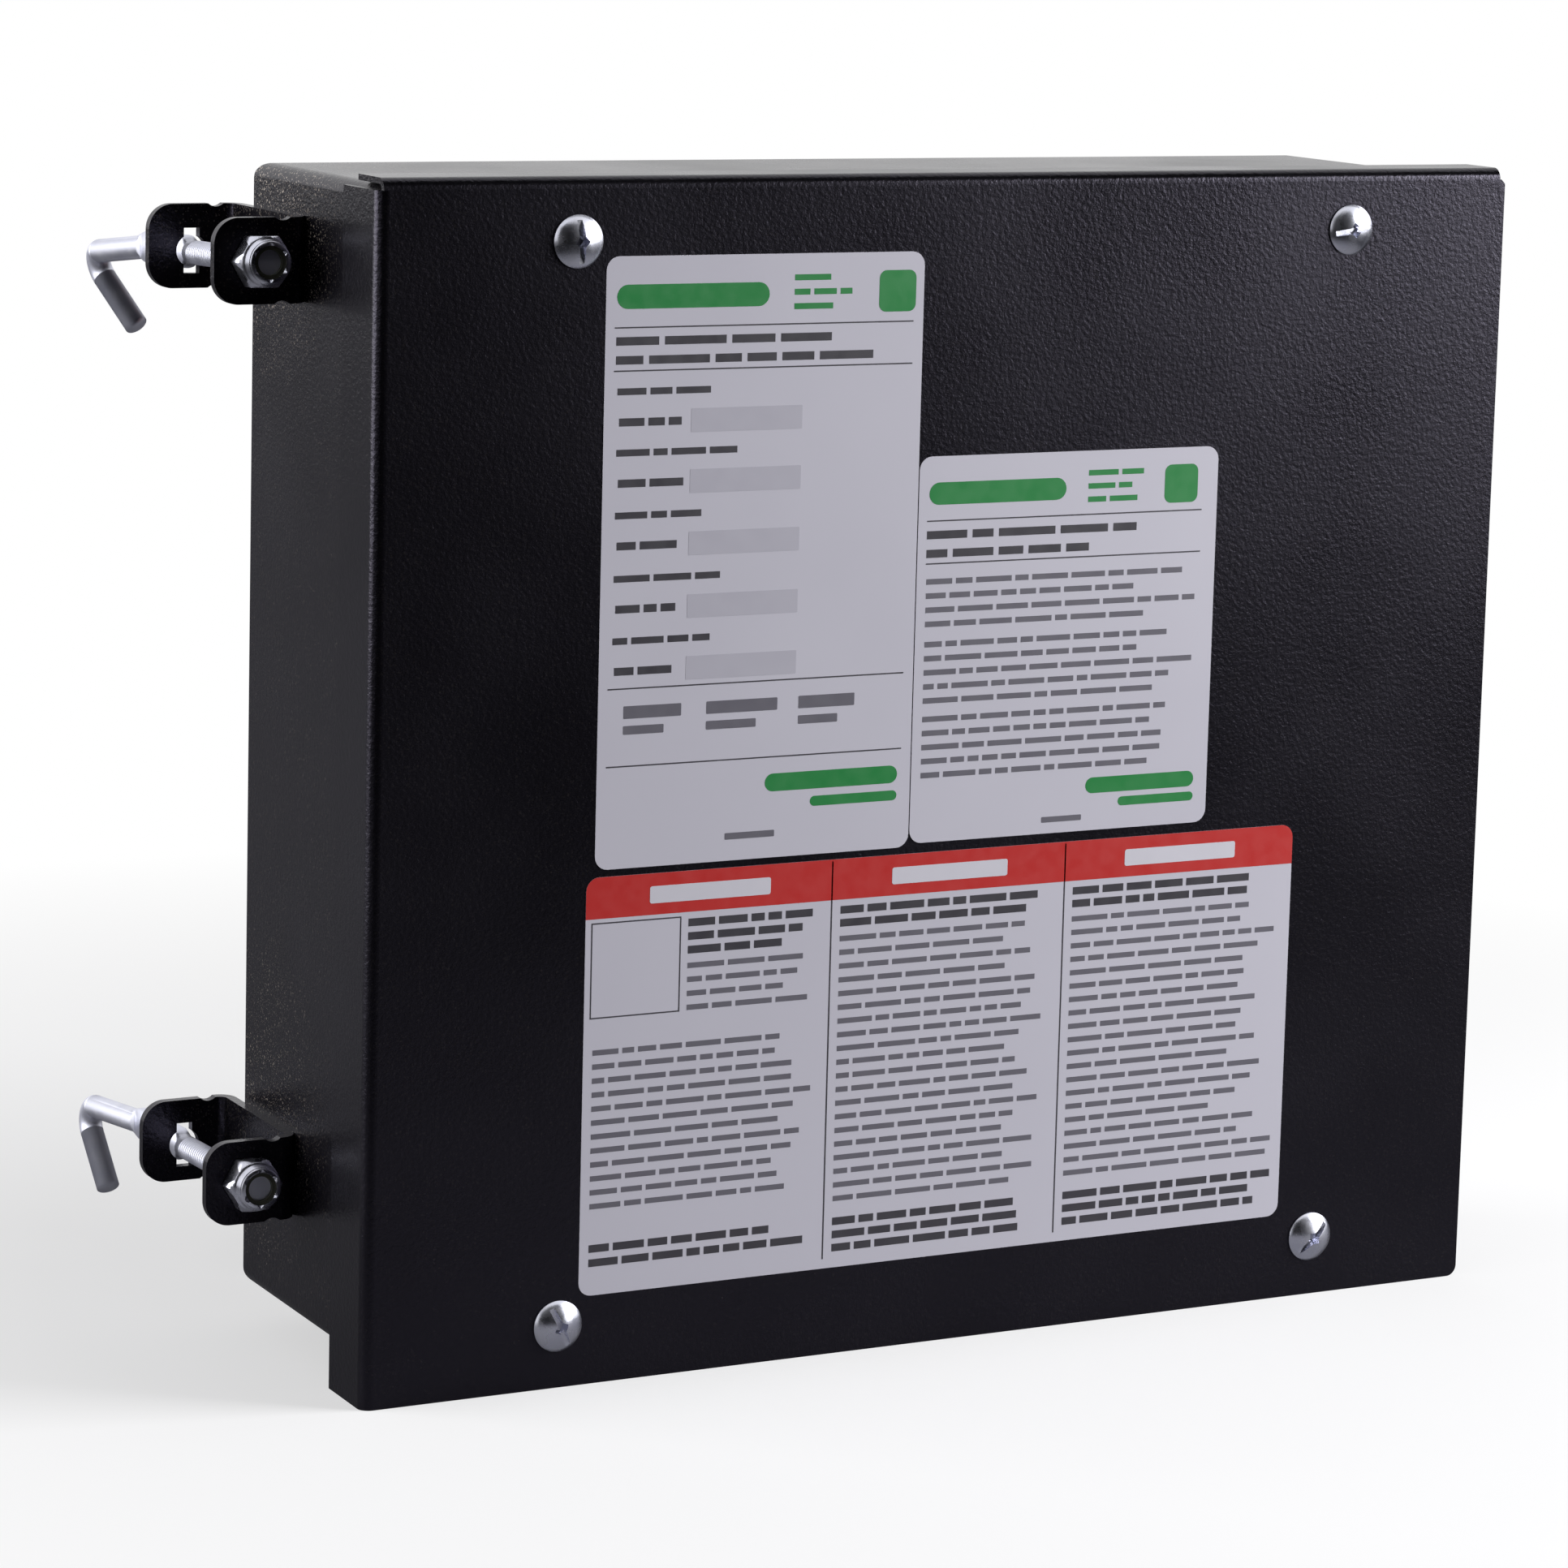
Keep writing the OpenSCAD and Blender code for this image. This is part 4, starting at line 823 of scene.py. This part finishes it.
class TapBoxThread(bpy.types.PropertyGroup):
    diameter: FloatProperty(name="Diameter", description="Outer diameter of the hook bolts' thread",
                            default=6.2 * MM, unit="LENGTH")
    pitch: FloatProperty(name="Pitch", description="Distance from one turn to the next",
                         default=1.27 * MM, unit="LENGTH")
    depth: FloatProperty(name="Depth", description="Depth of the thread",
                         default=0.65 * MM, unit="LENGTH")
    length: FloatProperty(name="Length", description="Length of the rod in front of the blade",
                          default=51 * MM, unit="LENGTH")
    bare: FloatProperty(name="Bare length", description="Plain rod between the thread and the blade",
                        default=1.5 * MM, unit="LENGTH")


class TapBoxScrews(bpy.types.PropertyGroup):
    head: FloatProperty(name="Head", description="Diameter of the cover screws' heads",
                        default=13.2 * MM, unit="LENGTH")
    height: FloatProperty(name="Head height", description="Height of the heads",
                          default=3.0 * MM, unit="LENGTH")
    slot: FloatProperty(name="Slot", description="Width of the straight slot",
                        default=1.6 * MM, unit="LENGTH")
    socket: FloatProperty(name="Socket", description="Width of the square socket",
                          default=3.1 * MM, unit="LENGTH")
    stem: FloatProperty(name="Stem", description="Outer diameter of the thread",
                        default=6.2 * MM, unit="LENGTH")
    length: FloatProperty(name="Length", description="Length of the thread",
                          default=12 * MM, unit="LENGTH")
    turns: FloatVectorProperty(name="Turns", description="Slot angles: upper left, upper right, "
                               "lower left, lower right", size=4, subtype="EULER",
                               default=[math.radians(a) for a in (94, 10, 115, 43)])
    nut_turn: FloatProperty(name="Nut turn", description="Angle the lock nuts were left at",
                            default=math.radians(30), subtype="ANGLE")


class TapBoxLabels(bpy.types.PropertyGroup):
    film: FloatProperty(name="Film", description="Thickness of the label film",
                        default=0.12 * MM, unit="LENGTH")
    ink: FloatProperty(name="Ink", description="Thickness of the printed ink",
                       default=0.03 * MM, unit="LENGTH")
    corner: FloatProperty(name="Corner", description="Radius of the labels' corners",
                          default=3.5 * MM, unit="LENGTH")


class TapBoxStage(bpy.types.PropertyGroup):
    lens: FloatProperty(name="Lens", description="Focal length", default=118.84, unit="CAMERA")
    key: FloatProperty(name="Key light", description="Power of the key light", default=26.0,
                       unit="POWER")
    side: FloatProperty(name="Side light", description="Power of the light on the left side",
                        default=25.0, unit="POWER")
    room: FloatProperty(name="Room light", description="Strength of the light from all round",
                        default=0.35, min=0.0)


# --- Operators ---

class TAPBOX_OT_stage(bpy.types.Operator):
    """Set out the floor, soft lights, white surround and camera"""
    bl_idname = "tapbox.stage"
    bl_label = "Stage"

    def execute(self, context):
        self.camera(context)
        self.floor()
        self.surround(context)
        self.lights(context)
        context.scene.view_settings.view_transform = "Standard"
        return {"FINISHED"}

    def camera(self, context):
        """A camera to the left of the cover and a little above it."""
        data = bpy.data.cameras.new("Camera")
        data.lens = context.scene.tap_box_stage.lens
        data.sensor_width = 36
        data.shift_x = 0.0135
        data.shift_y = -0.1118
        data.clip_end = 50
        camera = bpy.data.objects.new("Camera", data)
        camera.location = (-0.63876, -1.22775, 0.1923)
        camera.rotation_euler = [math.radians(a) for a in (81.453, -1.406, -27.019)]
        context.scene.collection.objects.link(camera)
        context.scene.camera = camera

    def floor(self):
        """Pale paper that keeps the box's shadow near it and fades to white further out; to the box
        itself it shows grey, with painted shade in front of the cover.
        """
        size = 6.0
        mesh = bpy.data.meshes.new("floor")
        z = cad_box[0].z
        mesh.from_pydata([(x * size, y * size, z) for x, y in ((-1, -1), (1, -1), (1, 1), (-1, 1))],
                         [], [(0, 1, 2, 3)])
        floor = bpy.data.objects.new("floor", mesh)
        bpy.context.scene.collection.objects.link(floor)
        material = bpy.data.materials.new("Pale paper sweep")
        material.use_nodes = True
        tree = material.node_tree
        tree.nodes.clear()
        place = object_place(tree)
        path = add(tree, "ShaderNodeLightPath").outputs
        far = spread(tree, add(tree, "ShaderNodeVectorMath", {0: place},
                               operation="LENGTH").outputs["Value"], 0.28, 0.62)
        ahead = add(tree, "ShaderNodeSeparateXYZ", {"Vector": place}).outputs["Y"]
        # Mask of the painted shade in the floor's reflection: 1 far out in front of the cover
        bare = times(tree, far, spread(tree, ahead, 0.1, -0.15))
        paper = add(tree, "ShaderNodeBsdfDiffuse", {"Color": linear("#f2f2f4")})
        seen = add(tree, "ShaderNodeEmission", {"Color": (1, 1, 1, 1), "Strength": 1.0})
        # What the box sees of the floor: grey, with painted shade that darkens it in front of the cover
        # so that the cover's front reflects a darker floor
        grey = blend_colours(tree, bare, "#8e8e92", "#28282a")
        dull = add(tree, "ShaderNodeBsdfDiffuse", {"Color": grey})
        lit = add(tree, "ShaderNodeMixShader", {0: path["Is Camera Ray"], 1: dull.outputs[0],
                                                2: paper.outputs[0]})
        fade = times(tree, plus(tree, 0.5, times(tree, far, 0.5)), path["Is Camera Ray"])
        mix = add(tree, "ShaderNodeMixShader", {0: fade, 1: lit.outputs[0], 2: seen.outputs[0]})
        out = add(tree, "ShaderNodeOutputMaterial")
        tree.links.new(mix.outputs[0], out.inputs["Surface"])
        mesh.materials.append(material)

    def surround(self, context):
        """White to the eye and in reflections, and a dim soft light from all round."""
        world = bpy.data.worlds.new("White surround")
        context.scene.world = world
        world.use_nodes = True
        tree = world.node_tree
        tree.nodes.clear()
        path = add(tree, "ShaderNodeLightPath").outputs
        bright = add(tree, "ShaderNodeMath", {0: path["Is Camera Ray"], 1: path["Is Glossy Ray"]},
                     operation="MAXIMUM").outputs[0]
        bright = add(tree, "ShaderNodeMath", {0: bright, 1: path["Is Transmission Ray"]},
                     operation="MAXIMUM").outputs[0]
        room = context.scene.tap_box_stage.room
        strength = spread(tree, bright, 0.0, 1.0, room, 1.0)
        light = add(tree, "ShaderNodeBackground", {"Color": (1, 1, 1, 1), "Strength": strength})
        out = add(tree, "ShaderNodeOutputWorld")
        tree.links.new(light.outputs[0], out.inputs["Surface"])

    def lights(self, context):
        """Three soft lamps and two black flags."""
        stage = context.scene.tap_box_stage
        self.lamp("Key", (1.1, -0.65, 0.45), (0.7, 0.7), stage.key)
        self.lamp("Sheen", (1.25, -1.3, 0.12), (0.5, 0.4), stage.key * 0.1)
        self.lamp("Side", (-1.7, 0.5, 0.4), (1.4, 1.2), stage.side)
        cloth = new_finish("Black flag cloth", "#080808", 0.9, Specular_IOR_Level=0.0)[0]
        # One behind the camera, so that the cover reflects a dark room, and one that stands over
        # the box's top front edge, so that the key lamp leaves no glare on the top
        self.flag("dark_room_flag", cloth, (-2.4, 1.25), -1.9, (-0.2, 2.4))
        top = cad_box[1].z
        self.flag("top_flag", cloth, (-0.16, 1.0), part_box("front_cover")[0].y - 3 * MM,
                  (top + 1 * MM, top + 0.6))

    def lamp(self, name, place, size, power):
        """A soft lamp that faces the plug."""
        data = bpy.data.lights.new(name, "AREA")
        data.shape = "RECTANGLE"
        data.size, data.size_y = size
        data.energy = power
        lamp = bpy.data.objects.new(name, data)
        lamp.location = place
        lamp.rotation_euler = (-Vector(place)).to_track_quat("-Z", "Y").to_euler()
        bpy.context.scene.collection.objects.link(lamp)

    def flag(self, name, cloth, across, y, up):
        """An upright black cloth that the camera doesn't see."""
        mesh = bpy.data.meshes.new(name)
        mesh.from_pydata([(across[0], y, up[0]), (across[1], y, up[0]), (across[1], y, up[1]),
                          (across[0], y, up[1])], [], [(0, 1, 2, 3)])
        flag = bpy.data.objects.new(name, mesh)
        flag.visible_camera = False
        bpy.context.scene.collection.objects.link(flag)
        mesh.materials.append(cloth)


class TAPBOX_OT_sheet_metal(bpy.types.Operator):
    """Coat the box, the cover and the clamp brackets"""
    bl_idname = "tapbox.sheet_metal"
    bl_label = "Sheet metal"

    def execute(self, context):
        dress(["back_box", "knockout_slugs"], powder_coat("Black textured powder coat, dusty", 0.9))
        dress(["front_cover", "upper_clamp_bracket", "lower_clamp_bracket"],
              powder_coat("Black textured powder coat", 0.2))
        return {"FINISHED"}


class TAPBOX_OT_fasteners(bpy.types.Operator):
    """Plate the screws, nuts and springs"""
    bl_idname = "tapbox.fasteners"
    bl_label = "Fasteners"

    def execute(self, context):
        zinc = bright_zinc("Bright zinc plate", 0.2, 0.34)
        screws = finish_piece("cover_screws_slotted", cover_screws_mesh(zinc), zinc, "cover")
        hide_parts("cover_screws")
        for side in ("upper", "lower"):
            nut = finish_piece(side + "_lock_nut_turned", turned_nut_mesh(side), zinc,
                               side + "_nut")
            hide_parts(side + "_lock_nut")
        dress(["upper_nut_insert", "lower_nut_insert"], nylon())
        dress(["cover_weld_nuts", "stab_base_screws", "strap_screws", "terminal_base_screws",
               "lug_tang_screws", "lug_set_screws", "ground_strap_screw", "ground_lug_screw",
               "ground_set_screw"], plain_steel())
        dress(["jaw_spring_a", "jaw_spring_b", "jaw_spring_c", "ground_jaw_spring"], spring_steel())
        return {"FINISHED"}


class TAPBOX_OT_hook_bolts(bpy.types.Operator):
    """Make the two hook bolts with their rolled threads"""
    bl_idname = "tapbox.hook_bolts"
    bl_label = "Hook bolts"

    def execute(self, context):
        zinc = bright_zinc("Zinc plate on drawn rod", 0.4, 0.55)
        for side in ("upper", "lower"):
            piece = finish_piece(side + "_hook_bolt_threaded", hook_bolt_mesh(side), zinc,
                                 side + "_hook")
            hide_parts(side + "_hook_bolt")
        return {"FINISHED"}


class TAPBOX_OT_insulators(bpy.types.Operator):
    """Finish the mouldings and the current-carrying parts"""
    bl_idname = "tapbox.insulators"
    bl_label = "Mouldings and conductors"

    def execute(self, context):
        dress(["stab_base", "terminal_base"], glass_polyester())
        dress(["phase_strap_a", "phase_strap_b", "phase_strap_c", "ground_strap"],
              rolled_metal("Rolled copper bar", "#a8623f", "#cf8a63", 0.3))
        dress(["phase_jaw_a", "phase_jaw_b", "phase_jaw_c", "ground_jaw"],
              rolled_metal("Tinned copper", "#a5a19a", "#c8c5be", 0.3))
        dress(["wire_lug_a", "wire_lug_b", "wire_lug_c", "ground_lug"],
              rolled_metal("Tinned aluminium", "#a2a5a8", "#c6c8ca", 0.38))
        return {"FINISHED"}


class TAPBOX_OT_labels(bpy.types.Operator):
    """Stick the three greeked labels on the cover"""
    bl_idname = "tapbox.labels"
    bl_label = "Labels"

    def execute(self, context):
        film = label_film("White label film", "#c6c4d0")
        inks = {
            "green": ink("Green screen ink", "#228040"), "red": ink("Red screen ink", "#bc2a28"),
            "dark": ink("Black screen ink", "#3b3940"), "mid": ink("Grey screen ink", "#66646e"),
            "pale": ink("Pale grey screen ink", "#b5b3bf"), "white": ink("White screen ink", "#d0ced8"),
        }
        tree = print_tree()
        for sheet in (rating_label(tree), instruction_label(tree), column_label(tree)):
            sheet.finish(film, inks)
        bpy.data.node_groups.remove(tree)
        return {"FINISHED"}


class TAPBOX_PT_panel(bpy.types.Panel):
    """Lists the steps that dress the box"""
    bl_label = "Tap off box"
    bl_idname = "TAPBOX_PT_panel"
    bl_space_type = "VIEW_3D"
    bl_region_type = "UI"
    bl_category = "Tap off box"

    def draw(self, context):
        column = self.layout.column()
        for step in STEPS:
            column.operator(step.bl_idname)
        for name, kind in GROUPS.items():
            group = getattr(context.scene, name)
            for field in kind.__annotations__:
                column.prop(group, field)


STEPS = (
    TAPBOX_OT_stage, TAPBOX_OT_sheet_metal, TAPBOX_OT_fasteners, TAPBOX_OT_hook_bolts,
    TAPBOX_OT_insulators, TAPBOX_OT_labels,
)
GROUPS = {
    "tap_box_finish": TapBoxFinish, "tap_box_thread": TapBoxThread, "tap_box_screws": TapBoxScrews,
    "tap_box_labels": TapBoxLabels, "tap_box_stage": TapBoxStage,
}


def register():
    for kind in (*GROUPS.values(), *STEPS, TAPBOX_PT_panel):
        bpy.utils.register_class(kind)
    for name, kind in GROUPS.items():
        setattr(bpy.types.Scene, name, PointerProperty(type=kind))


def unregister():
    for name in GROUPS:
        delattr(bpy.types.Scene, name)
    for kind in (TAPBOX_PT_panel, *reversed(STEPS), *reversed(list(GROUPS.values()))):
        bpy.utils.unregister_class(kind)


def main():
    register()
    for step in STEPS:
        section, action = step.bl_idname.split(".")
        getattr(getattr(bpy.ops, section), action)()


if __name__ == "__main__":
    main()
